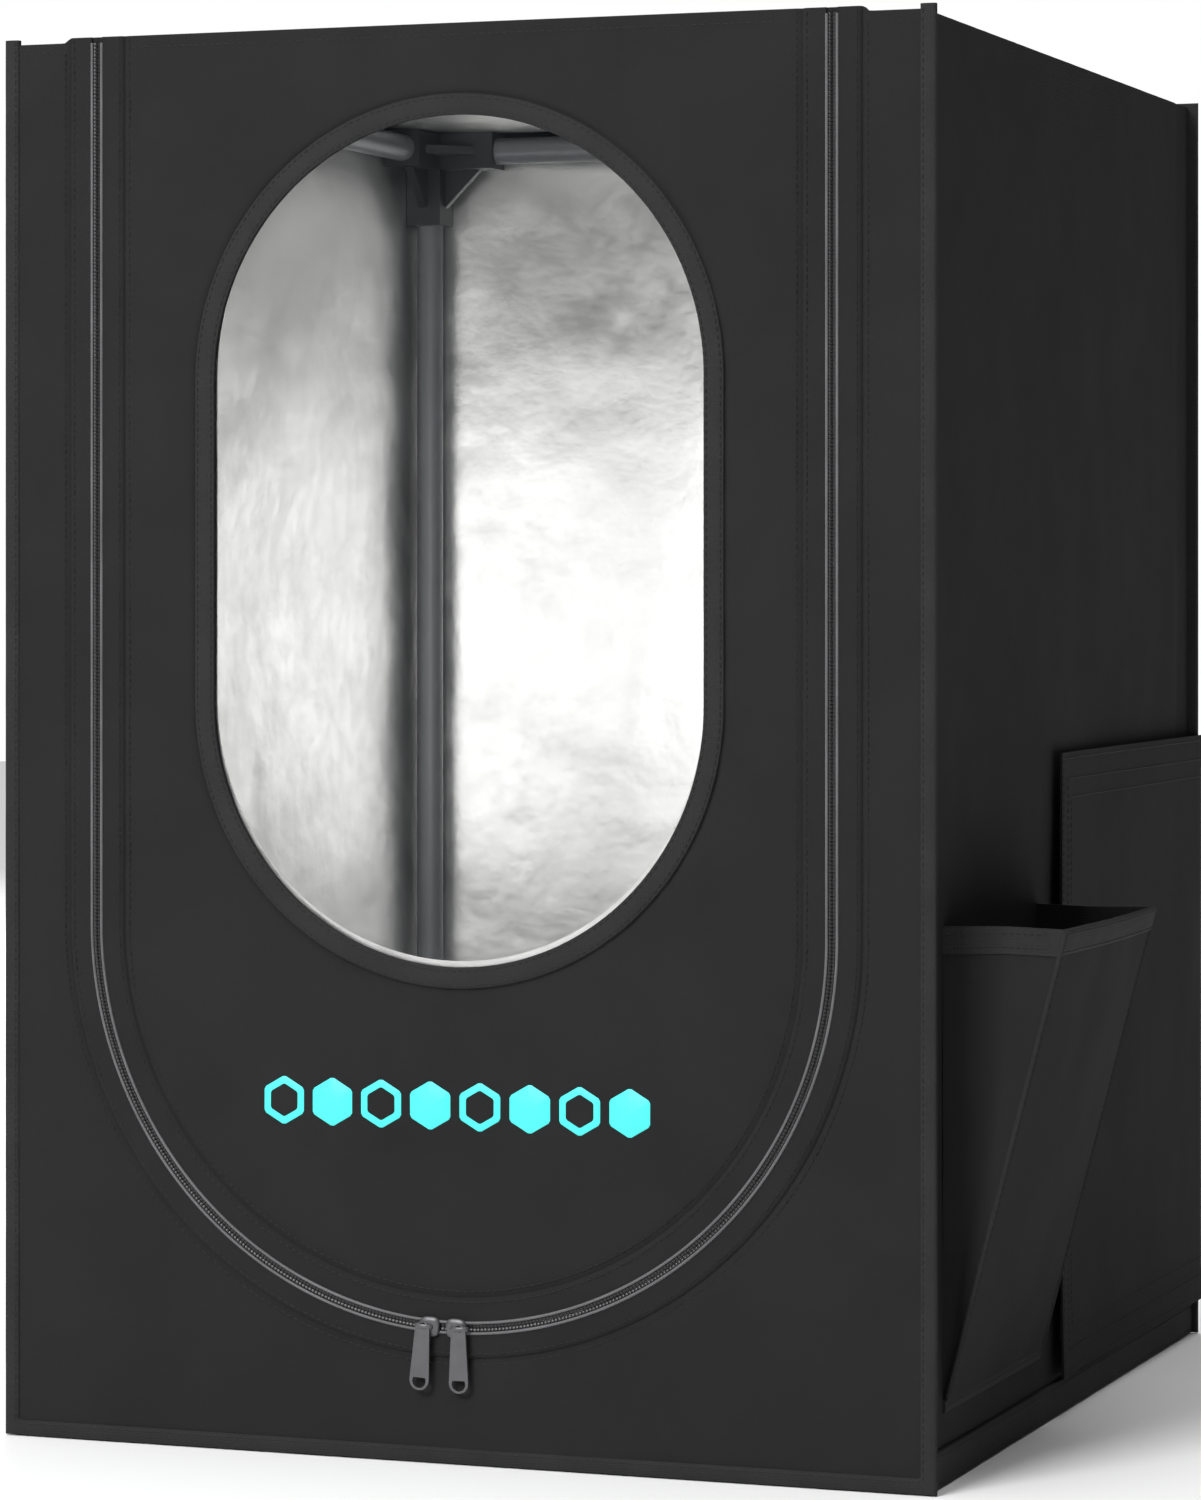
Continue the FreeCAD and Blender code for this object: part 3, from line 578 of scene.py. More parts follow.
def offset_path(frames, along, out=0.0):
    """The line that runs beside frames, with the normals that stitches stand on."""
    return [(place + side * along + face * out, face) for place, side, face in frames]


def window_point(place, radius):
    """The nearest point of the window's outline, grown to a radius, and the way out from it."""
    x, z = place
    spine = min(max(z, WINDOW_LOW), WINDOW_HIGH)
    away = Vector((x, 0, z - spine)).normalized()
    return Vector((0, 0, spine)) + away * radius, away


def window_frames(radius, step):
    """Places round the window's outline with the way out from it."""
    frames = []
    turns = round(math.pi * radius / step)
    for centre, start in ((WINDOW_HIGH, 0), (WINDOW_LOW, math.pi)):
        for n in range(turns + 1):
            turn = start + math.pi * n / turns
            away = Vector((math.cos(turn), 0, math.sin(turn)))
            frames.append((Vector((0, CLOTH_FRONT, centre)) + away * radius, away, TO_FRONT))
        side = -1 if start == 0 else 1
        ends = (WINDOW_HIGH, WINDOW_LOW) if start == 0 else (WINDOW_LOW, WINDOW_HIGH)
        for z in spread(*ends, step)[1:-1]:
            frames.append((Vector((side * radius, CLOTH_FRONT, z)), RIGHT * side, TO_FRONT))
    return frames


def front_height(x, z, from_zip, seed):
    """How far the front cloth stands out of its plane, near the zip and away from it."""
    settings = cover()
    raised = 0.7 * MM * smooth_step((settings.facing - abs(from_zip)) / (1.2 * MM) + 0.5)
    seam = settings.seam_depth * dent(abs(from_zip) - settings.facing - 0.4 * MM, 1.1 * MM)
    calm = smooth_step((abs(from_zip) - 4 * MM) / (40 * MM))
    slack = settings.ripple * calm * (ripple(x, z, 110 * MM, seed) + 0.35 * ripple(x, z, 38 * MM, seed))
    gather = 0.5 * MM * pucker(x * 0.8 + z, abs(from_zip) - settings.facing, seed)
    return raised - seam + slack + gather


def from_zip(point):
    """How far outside the zip's centre line a point is: negative on the door."""
    if point.z >= ARC_Z:
        return abs(point.x) - ZIP_RADIUS
    return (point - Vector((0, point.y, ARC_Z))).length - ZIP_RADIUS


def from_window(point):
    """How far outside the window's opening a point is."""
    spine = Vector((0, point.y, min(max(point.z, WINDOW_LOW), WINDOW_HIGH)))
    return (point - spine).length - WINDOW_OUT + bpy.context.scene.tent_window.border


def surround_height(point, distance):
    """How far the surround stands out at a point; the corner bindings hold it flat."""
    height = front_height(point.x, point.z, distance, 3.1)
    if distance > cover().facing + 4 * MM:
        held = smooth_step((HALF_WIDTH - BINDING_WIDTH - abs(point.x)) / (30 * MM))
        height *= 0.25 + 0.75 * held
    return height


def door_height(point):
    """How far the door stands out at a point, between the zip's facing and the window."""
    height = front_height(point.x, point.z, from_zip(point), 7.7)
    if from_zip(point) > -cover().facing - 4 * MM:
        return height
    beyond = from_window(point) - bpy.context.scene.tent_window.border
    height *= smooth_step(beyond / (35 * MM)) * smooth_step((TOP - point.z) / (30 * MM))
    height += 0.5 * MM * pucker(point.x + point.z * 0.7, beyond, 5.5)
    return height - 0.8 * MM * dent(beyond - 0.8 * MM, 1.0 * MM)


class TENT_OT_front(bpy.types.Operator):
    """Cuts and sews the surround of the door, from the zip to the bound edges"""
    bl_idname = "tent.front"
    bl_label = "Front surround"

    def execute(self, context):
        settings = cover()
        frames = zip_frames(TOP, 6 * MM)
        edge = FRAME_EDGE - ZIP_RADIUS
        seam = settings.facing
        offsets = [edge, edge + 1.5 * MM, edge + 5 * MM, seam - 3 * MM, seam - 1.2 * MM,
                   seam - 0.3 * MM, seam + 0.4 * MM, seam + 1.4 * MM, seam + 3.5 * MM]
        soup = Soup()
        rows = []
        for place, away, _ in frames:
            goal = toward_edge(place, away, WALL_OUTER, BOTTOM_BINDING - 2.5 * MM)
            row = []
            inner = [place + away * offset for offset in offsets]
            last = inner[-1]
            between = [last.lerp(Vector((goal.x, last.y, goal.z)), n / 12) for n in range(1, 13)]
            for n, point in enumerate(inner + between):
                distance = from_zip(point)
                height = surround_height(point, distance)
                top = TOP + (ROOF_TOP - TOP) * smooth_step((distance - seam) / (4 * MM))
                row.append(Vector((point.x, CLOTH_FRONT - height, min(point.z, top))))
            rows.append(row)
        soup.grid(rows)
        made = piece("front_surround", soup, "cloth", "tent", ["front_panel"],
                     thickness=CLOTH - 0.6 * MM, outward=TO_FRONT)
        lower = zip_frames(ROOF_TOP - 4 * MM, 6 * MM)
        sew("front_surround_stitching", "tent", offset_path(frames, seam - 2.2 * MM, -0.2 * MM),
            offset_path(lower, seam + 3.2 * MM, -0.9 * MM))
        return {"FINISHED"}


class TENT_OT_door(bpy.types.Operator):
    """Cuts and sews the door round its window"""
    bl_idname = "tent.door"
    bl_label = "Door cloth"

    def execute(self, context):
        settings = cover()
        seam = settings.facing
        hole = WINDOW_OUT - context.scene.tent_window.border
        frames = zip_frames(TOP, 6 * MM)
        edge = DOOR_EDGE - ZIP_RADIUS
        offsets = [edge, edge - 1.5 * MM, edge - 5 * MM, 3 * MM - seam, 1.2 * MM - seam,
                   0.3 * MM - seam, -0.4 * MM - seam, -1.4 * MM - seam, -3.5 * MM - seam]
        soup = Soup()
        rows = []
        for place, away, _ in frames:
            points = [place + away * offset for offset in offsets]
            rows.append([Vector((p.x, CLOTH_FRONT - door_height(p), p.z)) for p in points])
        soup.grid(rows)
        rim = [row[-1] for row in rows]
        right, left = rim[-1], rim[0]
        rim += [Vector((x, CLOTH_FRONT, TOP)) for x in spread(right.x, left.x, 6 * MM)[1:-1]]
        border = context.scene.tent_window.border
        near = [0, 1 * MM, border - 1.5 * MM, border - 0.3 * MM, border + 0.8 * MM, border + 2.2 * MM,
                border + 5 * MM]
        rings = []
        for outer in rim:
            start, away = window_point((outer.x, outer.z), hole)
            flat = Vector((outer.x, 0, outer.z))
            points = [start + away * distance for distance in near]
            points += [points[-1].lerp(flat, n / 16) for n in range(1, 17)]
            rings.append([Vector((p.x, CLOTH_FRONT - door_height(p), p.z)) for p in points[:-1]]
                         + [outer])
        soup.grid(rings, closed_rows=True)
        made = piece("door_cloth", soup, "cloth", "door", ["door_panel"],
                     thickness=CLOTH - 0.6 * MM, outward=TO_FRONT)
        head = [(Vector((x, CLOTH_FRONT, TOP - 6 * MM)), TO_FRONT)
                for x in spread(-DOOR_EDGE + seam, DOOR_EDGE - seam, 10 * MM)]
        sew("door_stitching", "door", offset_path(frames, 2.2 * MM - seam, -0.2 * MM),
            offset_path(frames, -3.2 * MM - seam, -0.9 * MM), head)
        return {"FINISHED"}


class TENT_OT_window(bpy.types.Operator):
    """Sews the clear film into its border"""
    bl_idname = "tent.window"
    bl_label = "Window"

    def execute(self, context):
        border = context.scene.tent_window.border
        hole = WINDOW_OUT - border
        soup = Soup()
        frames = window_frames(hole, 4 * MM)
        profile = rounded_profile(border, 2.6 * MM, 0.6 * MM, 0.35 * MM)
        for n, (place, away, face) in enumerate(frames):
            swell = 0.12 * MM * ripple(n * 4 * MM, 0, 14 * MM, 2.2)
            frames[n] = (place + face * (1.05 * MM + swell), away, face)
        sweep(soup, frames, profile, closed_path=True)
        piece("window_border", soup, "tape", "door", ["window_binding"])
        paths = [offset_path(frames, offset, 0.15 * MM) for offset in (1.6 * MM, border - 1.5 * MM)]
        sew("window_border_stitching", "door", *([*path, path[0]] for path in paths))
        film_front = low("window_film", Y)
        film_half = high("window_film", X)
        sheet = Soup()
        rows = []
        for place, away, _ in window_frames(film_half, 8 * MM):
            spine = Vector((0, 0, min(max(place.z, WINDOW_LOW), WINDOW_HIGH)))
            row = []
            for share in (1, 0.94, 0.86, 0.76, 0.64, 0.5, 0.34, 0.16, 0.0):
                point = spine + away * film_half * share
                calm = smooth_step((1 - share) * 4)
                wave = 0.9 * MM * calm * ripple(point.x, point.z, 130 * MM, 9.1)
                row.append(Vector((point.x, film_front - wave, point.z)))
            rows.append(row)
        sheet.grid(rows, closed_rows=True)
        film = piece("window_film_sheet", sheet, "film", "door", ["window_film"],
                     thickness=0.5 * MM, outward=TO_FRONT)
        return {"FINISHED"}


class TENT_OT_zip(bpy.types.Operator):
    """Lays both halves of the coil zip, with the turned edges of their tapes"""
    bl_idname = "tent.zip"
    bl_label = "Zip"

    def execute(self, context):
        self.half("door", -1, ["zipper_chain_door", "zipper_tape_door"])
        self.half("tent", 1, ["zipper_chain_frame", "zipper_tape_frame"])
        return {"FINISHED"}

    def half(self, body, side, nodes):
        """One half: the coil's turns, the cord beside them and the tape that they are sewn to."""
        name = "zip_" + ("door" if side < 0 else "frame")
        top = high(nodes[0], Z)
        frames = zip_frames(top, 4 * MM)
        gap = 0.06 * MM
        turns = Soup()
        pitch = bpy.context.scene.tent_zip.pitch
        for place, along, face in along_path(offset_path(zip_frames(top, 2 * MM), 0), pitch):
            away = along.cross(face) * side
            if away.dot(Vector((place.x, 0, min(place.z, ARC_Z) - ARC_Z))) * side < 0:
                away = -away
            self.turn(turns, place, along, away, face, gap, pitch * 0.42)
        piece(name + "_coil", turns, "coil", body, [nodes[0]], weld=0)
        # The cord's pale finish is a painted highlight along the tape's folded edge.
        cord = Soup()
        middle = side * (DOOR_EDGE - FRAME_EDGE) / -2
        sweep(cord, frames, round_profile(0.75 * MM, 8, -0.15 * MM, middle - side * 0.35 * MM))
        tape = Soup()
        full = zip_frames(TOP, 4 * MM)
        inner, outer = side * 0.08 * MM, side * 11 * MM
        sweep(tape, full, [(inner, -1.7 * MM), (outer, -1.7 * MM), (outer, -2.2 * MM),
                           (inner, -2.2 * MM)])
        piece(name + "_edge_cord", cord, "painted_highlight_zip_edge", body)
        piece(name + "_tape", tape, "cloth", body, [nodes[1]])

    def turn(self, soup, place, along, away, face, gap, half):
        """One turn of the coil: a low arch across its half of the chain."""
        reach = (FRAME_EDGE - DOOR_EDGE) / 2 - 0.9 * MM
        section = [(gap, -1.6 * MM), (gap, -0.5 * MM), (gap + 0.4 * MM, -0.1 * MM),
                   (reach * 0.7, 0.0), (reach, -0.5 * MM), (reach, -1.6 * MM)]
        rows = [[place + away * a + face * (o - 0.2 * MM * abs(s)) + along * half * s
                 for a, o in section] for s in (-1, 0, 1)]
        soup.grid(rows)


class TENT_OT_sliders(bpy.types.Operator):
    """Casts the two sliders and their pulls"""
    bl_idname = "tent.sliders"
    bl_label = "Sliders and pulls"

    def execute(self, context):
        for side, nose in (("left", 1), ("right", -1)):
            self.slider(side, nose)
            self.pull(side, nose)
        return {"FINISHED"}

    def stand(self, side):
        """The matrix of a slider: x along the zip, y into the cloth, z towards the door."""
        axis = Vector(JOINTS[f"{side}_pull_swing"]["axis"]) * -1
        place = Vector(JOINTS[f"{side}_pull_swing"]["pos_m"])
        up = Vector((-axis.z, 0, axis.x))
        turn = Matrix((axis, Vector((0, 1, 0)), up)).transposed()
        return Matrix.Translation(place) @ turn.to_4x4()

    def slider(self, side, nose):
        """A body with rounded shoulders, a post and foot behind, and a crown."""
        node = f"slider_{side}"
        made = self.stand(side)
        lift = 3.9 * MM
        soup = Soup()
        outline = []
        half, wide = 5.4 * MM, 4.9 * MM
        for n in range(40):
            turn = 2 * math.pi * n / 40
            reach_x = math.copysign(abs(math.cos(turn)) ** 0.55, math.cos(turn)) * half
            reach_z = math.copysign(abs(math.sin(turn)) ** 0.55, math.sin(turn)) * wide
            reach_z *= 1 - 0.12 * smooth_step(-nose * reach_x / half)
            outline.append((reach_x - nose * -2.4 * MM, reach_z))
        layers = ((1.0, -0.25 * MM), (1.0, -1.2 * MM), (0.96, -1.8 * MM), (0.86, -2.2 * MM),
                  (0.5, -2.45 * MM), (0.05, -2.5 * MM))
        centre = nose * 2.4 * MM
        rings = [[Vector((centre + (x - centre) * scale, lift + y, z * scale)) for x, z in outline]
                 for scale, y in layers]
        soup.grid(rings, closed_across=True)
        soup.cap(rings[0][::-1])
        soup.cap(rings[-1])
        self.crown(soup, lift)
        stem_x = centre + nose * 2.6 * MM
        self.block(soup, (stem_x - 0.9 * MM, lift - 0.6 * MM, -0.35 * MM),
                   (stem_x + 0.9 * MM, lift + 2.6 * MM, 0.35 * MM))
        self.block(soup, (centre - 4.6 * MM, lift + 2.15 * MM, -0.35 * MM),
                   (centre + 4.6 * MM, lift + 3.2 * MM, 2.6 * MM))
        soup.points = [made @ point for point in soup.points]
        piece(f"zip_slider_{side}", soup, "metal", f"{side}_slider", [node], weld=0)

    def crown(self, soup, lift):
        """The arch over the slider's back that the pull's eye hangs on."""
        frames = []
        for n in range(17):
            turn = math.pi * n / 16
            place = Vector((-4.3 * MM * math.cos(turn),
                            lift - 2.2 * MM - 2.4 * MM * math.sin(turn) ** 0.7, 0))
            ahead = Vector((math.sin(turn), -math.cos(turn), 0)).normalized()
            frames.append((place, Vector((0, 0, 1)), ahead.cross(Vector((0, 0, 1)))))
        turns = [2 * math.pi * k / 12 for k in range(12)]
        sweep(soup, frames, [(1.3 * MM * math.cos(turn), 0.6 * MM * math.sin(turn)) for turn in turns])

    def block(self, soup, lowest, highest):
        xs, ys, zs = zip(lowest, highest)
        corners = [Vector((x, y, z)) for x in xs for y in ys for z in zs]
        soup.add(corners, [(0, 1, 3, 2), (4, 6, 7, 5), (0, 4, 5, 1), (2, 3, 7, 6), (0, 2, 6, 4),
                           (1, 5, 7, 3)])

    def pull(self, side, nose):
        """A flat tab with a round eye, a rounded foot and a D-shaped hole, with its sharp edges
        bevelled.
        """
        length, half_foot, half_neck = 32 * MM, 5.25 * MM, 3.9 * MM
        centre_z = -(length - half_foot)
        outline, inner = [], []
        steps = 14
        for n in range(steps + 1):
            turn = math.pi + math.pi * n / steps
            outline.append((half_foot * math.cos(turn), centre_z + half_foot * math.sin(turn)))
        eye = 3.6 * MM
        for n in range(steps + 1):
            turn = math.pi * n / steps
            outline.append((half_neck * math.cos(turn), -1.2 * MM + eye * math.sin(turn)))
        hole = self.d_hole(centre_z, half_foot - 1.7 * MM, steps)
        slot = [(2.0 * MM * math.cos(turn), 0.3 * MM + 1.7 * MM * math.sin(turn))
                for turn in (math.pi * 2 * n / 20 for n in range(20))]
        made = self.stand(side)
        work = bmesh.new()
        loops = []
        for points in (outline, hole, slot):
            verts = [work.verts.new((x, 0, z)) for x, z in points]
            loops.extend([work.edges.new((verts[n], verts[(n + 1) % len(verts)]))
                          for n in range(len(verts))])
        bmesh.ops.triangle_fill(work, use_beauty=True, use_dissolve=False, edges=loops)
        bmesh.ops.recalc_face_normals(work, faces=work.faces)
        bmesh.ops.solidify(work, geom=work.faces[:], thickness=1.5 * MM)
        middle = sum(v.co.y for v in work.verts) / len(work.verts)
        bmesh.ops.translate(work, verts=work.verts, vec=(0, -middle, 0))
        work.normal_update()
        sharp = [e for e in work.edges if len(e.link_faces) == 2 and e.calc_face_angle(0) > 0.9]
        bmesh.ops.bevel(work, geom=sharp, offset=0.35 * MM, segments=2, affect="EDGES", profile=0.6)
        soup = Soup()
        work.verts.ensure_lookup_table()
        for n, vert in enumerate(work.verts):
            vert.index = n
        soup.add([made @ v.co for v in work.verts], [[v.index for v in f.verts] for f in work.faces])
        work.free()
        piece(f"zip_pull_{side}", soup, "metal", f"{side}_pull", [f"pull_{side}"], weld=0)

    def d_hole(self, centre_z, radius, steps):
        """The D: a straight top and a round foot."""
        points = [(radius * math.cos(math.pi + math.pi * n / steps),
                   centre_z - 0.4 * MM + radius * math.sin(math.pi + math.pi * n / steps) * 1.05)
                  for n in range(steps + 1)]
        return points + [(radius * 0.9, centre_z + 1.1 * MM), (-radius * 0.9, centre_z + 1.1 * MM)]


class TENT_OT_print(bpy.types.Operator):
    """Prints the strip of honeycomb cells on the door"""
    bl_idname = "tent.print"
    bl_label = "Print"

    def execute(self, context):
        cells, cell_height = 8, high("door_print", Z) - low("door_print", Z)
        radius = cell_height / 2
        width = high("door_print", X) - low("door_print", X)
        pitch = (width - radius * math.sqrt(3)) / (cells - 1)
        middle_z = (high("door_print", Z) + low("door_print", Z)) / 2
        line = 4 * MM
        soup = Soup()
        for n in range(cells):
            x = (n - (cells - 1) / 2) * pitch
            inside = 0.15 * MM if n % 2 else radius - line
            rings = [self.hexagon(x, middle_z, size, depth)
                     for size, depth in ((inside, 0.02 * MM), (inside, 0.22 * MM),
                                         (radius - 0.3 * MM, 0.22 * MM), (radius, 0.02 * MM))]
            soup.grid(rings, closed_across=True)
        piece("door_print_cells", soup, "ink", "door", ["door_print"], weld=0)
        return {"FINISHED"}

    def hexagon(self, x, z, size, depth, per_side=6):
        """A ring of points round one cell with slightly rounded corners, on the door's cloth."""
        corners = [Vector((x + size * math.sin(turn), 0, z + size * math.cos(turn)))
                   for turn in (math.pi * k / 3 for k in range(6))]
        points = []
        for a, b in zip(corners, corners[1:] + corners[:1]):
            for step in range(per_side):
                point = a.lerp(b, (step + 0.5) / per_side)
                points.append(Vector((point.x, CLOTH_FRONT - door_height(point) - depth, point.z)))
        return points


# ---------------------------------------------------------------- walls, roof and floor
def slack(u, v, edge, seed):
    """The slow in-and-out of a wall between its sewn edges, which its lining follows."""
    calm = smooth_step(edge / (45 * MM))
    wide, narrow = ripple(u, v, 120 * MM, seed), ripple(u, v, 42 * MM, seed + 2)
    return cover().ripple * calm * (wide + 0.4 * narrow)


def sag(x, y):
    """How far the roof hangs between the poles."""
    across = 1 - (x / WALL_INNER) ** 2
    return 3.2 * MM * across * (1 - (2 * (y - WALL_FRONT) / (WALL_BACK - WALL_FRONT) - 1) ** 2)


def wall(name, node, place, u_range, v_range, outward, seed, extra=None, skip_box=None, rows=10 * MM):
    """A cloth panel: place(u, v, out) puts a point that stands out by a height.

    extra adds its own height, and skip_box leaves out a rectangle of (u, v) lows and highs."""
    us, vs = spread(*u_range, rows), spread(*v_range, rows)
    if skip_box:
        (skip_u, skip_v), (skip_u_end, skip_v_end) = skip_box
        us = split_at(us, (skip_u, skip_u_end), rows / 2)
        vs = split_at(vs, (skip_v, skip_v_end), rows / 2)
    grid = []
    for u in us:
        row = []
        for v in vs:
            edge = min(u - us[0], us[-1] - u, v - vs[0], vs[-1] - v)
            height = slack(u, v, edge, seed) + 0.45 * MM * pucker(u + v, edge - 4 * MM, seed)
            if extra:
                height += extra(u, v)
            row.append(place(u, v, height))
        grid.append(row)
    soup = Soup()

    def skipped(r, c):
        u, v = (us[r] + us[r + 1]) / 2, (vs[c] + vs[c + 1]) / 2
        return skip_box[0][0] < u < skip_box[1][0] and skip_box[0][1] < v < skip_box[1][1]

    soup.grid(grid, skip=skipped if skip_box else None)
    made = piece(name, soup, "cloth", "tent", [node], thickness=CLOTH - 0.6 * MM, outward=outward)
    return made


def port_box(margin):
    """The cable port's rectangle on the right wall, larger by a margin, as (y, z) corners."""
    flap_front, flap_back = low("side_flap", Y), BACK
    bottom, top = low("side_flap", Z), high("side_flap", Z)
    return ((flap_front + 50 * MM - margin, bottom + 40 * MM - margin),
            (flap_back - 29 * MM + margin, top - 40 * MM + margin))


class TENT_OT_walls(bpy.types.Operator):
    """Sews the side walls, the back, the roof and the floor"""
    bl_idname = "tent.walls"
    bl_label = "Walls, roof and floor"

    def execute(self, context):
        y_range = (WALL_FRONT, WALL_BACK)
        z_range = (0.4 * MM, ROOF_TOP)
        groove_y = BACK - 24 * MM

        def seams(y, z):
            """The seam beside the rear corner, and the one above the hem."""
            depth = cover().seam_depth
            return -1.8 * depth * dent(y - groove_y, 2.6 * MM) - depth * dent(z - 21 * MM, 3 * MM)

        wall("left_wall", "left_panel", lambda y, z, out: Vector((-WALL_OUTER - out, y, z)), y_range,
             z_range, -RIGHT, 11.3, seams, rows=8 * MM)
        wall("right_wall", "right_panel", lambda y, z, out: Vector((WALL_OUTER + out, y, z)), y_range,
             z_range, RIGHT, 23.9, seams, port_box(3 * MM), rows=8 * MM)
        back = high("back_panel", Y)
        wall("back_wall", "back_panel", lambda x, z, out: Vector((x, back + out, z)),
             (-WALL_INNER, WALL_INNER), (BOTTOM_BINDING - 1 * MM, ROOF_TOP), -TO_FRONT, 31.7)

        wall("roof_cloth", "roof_panel", lambda x, y, out: Vector((x, y, ROOF_TOP - 0.2 * MM + out)),
             (-WALL_INNER, WALL_INNER), y_range, UP, 41.1, lambda x, y: -sag(x, y))
        floor_low = low("floor_panel", Z)
        wall("floor_cloth", "floor_panel",
             lambda x, y, out: Vector((x, y, floor_low + 1.4 * MM + 0.3 * out)),
             (-WALL_INNER, WALL_INNER), y_range, UP, 47.5)
        self.port_edge()
        return {"FINISHED"}

    def port_edge(self):
        """The bound edge of the cable port."""
        (y_low, z_low), (y_high, z_high) = port_box(0)
        corner = 15 * MM
        frames = []
        for y, z, start in ((y_high - corner, z_high - corner, 0),
                            (y_low + corner, z_high - corner, 90),
                            (y_low + corner, z_low + corner, 180),
                            (y_high - corner, z_low + corner, 270)):
            for n in range(9):
                turn = math.radians(start + 90 * n / 8)
                away = Vector((0, math.cos(turn), math.sin(turn)))
                frames.append((Vector((WALL_OUTER + 0.7 * MM, y, z)) + away * corner, away, RIGHT))
        soup = Soup()
        sweep(soup, frames, rounded_profile(10 * MM, 3.6 * MM, 0.7 * MM, 0.2 * MM), closed_path=True)
        piece("port_binding", soup, "tape", "tent")
        path = offset_path(frames, 8 * MM, 0.05 * MM)
        sew("port_stitching", "tent", [*path, path[0]])


class TENT_OT_lining(bpy.types.Operator):
    """Lines the inside with aluminised film"""
    bl_idname = "tent.lining"
    bl_label = "Foil lining"

    def execute(self, context):
        y_range, z_range = (WALL_FRONT, WALL_BACK), (low("left_lining", Z), high("left_lining", Z))
        x_range = (-WALL_INNER, WALL_INNER)
        left, right = low("left_lining", X), high("right_lining", X)
        back, front = high("back_lining", Y), low("front_lining", Y)
        self.sheet("left_foil", "left_lining", lambda y, z, out: Vector((left + out, y, z)),
                   y_range, z_range, RIGHT, 11.3)
        self.sheet("right_foil", "right_lining", lambda y, z, out: Vector((right - out, y, z)),
                   y_range, z_range, -RIGHT, 23.9, port_box(3 * MM))
        self.sheet("back_foil", "back_lining", lambda x, z, out: Vector((x, back - out, z)),
                   x_range, z_range, TO_FRONT, 31.7)
        roof, floor = high("roof_lining", Z), low("floor_lining", Z)
        self.sheet("roof_foil", "roof_lining",
                   lambda x, y, out: Vector((x, y, roof - sag(x, y) - out)),
                   x_range, y_range, -UP, 41.1)
        self.sheet("floor_foil", "floor_lining", lambda x, y, out: Vector((x, y, floor + 0.3 * out)),
                   x_range, y_range, UP, 47.5)
        self.round_sheet("front_foil", "front_lining", "tent", front, 1)
        self.round_sheet("door_foil", "door_lining", "door", low("door_lining", Y), -1)
        return {"FINISHED"}

    def height(self, u, v, seed):
        """Soft dents with a few sharper creases, never lower than the cloth's own face."""
        soft = ripple(u, v, 70 * MM, seed + 5)
        crease = abs(ripple(u, v, 33 * MM, seed + 5.5))
        return max(0, 0.9 * MM * (soft + 0.7 - crease))

    def sheet(self, name, node, place, u_range, v_range, outward, seed, skip_box=None):
        us, vs = spread(*u_range, 11 * MM), spread(*v_range, 11 * MM)
        if skip_box:
            (u_a, v_a), (u_b, v_b) = skip_box
            us, vs = split_at(us, (u_a, u_b), 5 * MM), split_at(vs, (v_a, v_b), 5 * MM)
        rows = []
        for u in us:
            row = []
            for v in vs:
                edge = min(u - us[0], us[-1] - u, v - vs[0], vs[-1] - v)
                crinkle = self.height(u, v, seed) * smooth_step(edge / (25 * MM))
                row.append(place(u, v, crinkle - slack(u, v, edge, seed)))
            rows.append(row)
        soup = Soup()

        def skipped(r, c):
            u, v = (us[r] + us[r + 1]) / 2, (vs[c] + vs[c + 1]) / 2
            return u_a < u < u_b and v_a < v < v_b

        soup.grid(rows, skip=skipped if skip_box else None)
        made = piece(name, soup, "foil", "tent", [node], thickness=0.3 * MM, outward=outward)

    def round_sheet(self, name, node, body, y, side):
        """The lining of the surround, outside the zip, or of the door, inside it."""
        frames = zip_frames(high(node, Z), 10 * MM)
        rows = []
        inner = abs(low(node, X)) - ZIP_RADIUS if side < 0 else FRAME_EDGE + 4.5 * MM - ZIP_RADIUS
        hole = WINDOW_OUT - bpy.context.scene.tent_window.border
        ring = []
        for place, away, _ in frames:
            ring.append(Vector((place.x, 0, place.z)) + away * inner)
        soup = Soup()
        if side > 0:
            for point, (place, away, _) in zip(ring, frames):
                goal = toward_edge(place, away, WALL_INNER, BOTTOM_BINDING)
                rows.append([self.lie(point.lerp(goal, n / 12), y, side) for n in range(13)])
            soup.grid(rows)
        else:
            right, left = ring[-1], ring[0]
            ring += [Vector((x, 0, right.z)) for x in spread(right.x, left.x, 12 * MM)[1:-1]]
            for point in ring:
                near, _ = window_point((point.x, point.z), hole - 0.5 * MM)
                near.z += 2.5 * MM
                rows.append([self.lie(near.lerp(point, n / 14), y, side) for n in range(15)])
            soup.grid(rows, closed_rows=True)
        made = piece(name, soup, "foil", body, [node], thickness=0.3 * MM, outward=-TO_FRONT)

    def lie(self, point, y, side):
        """A point of the lining just behind the cloth."""
        stands = surround_height(point, from_zip(point)) if side > 0 else door_height(point)
        behind = CLOTH_FRONT - stands + CLOTH - 0.2 * MM
        crinkle = 0.5 * self.height(point.x, point.z, 13)
        return Vector((point.x, max(y, behind) + 0.3 * MM + crinkle, point.z))


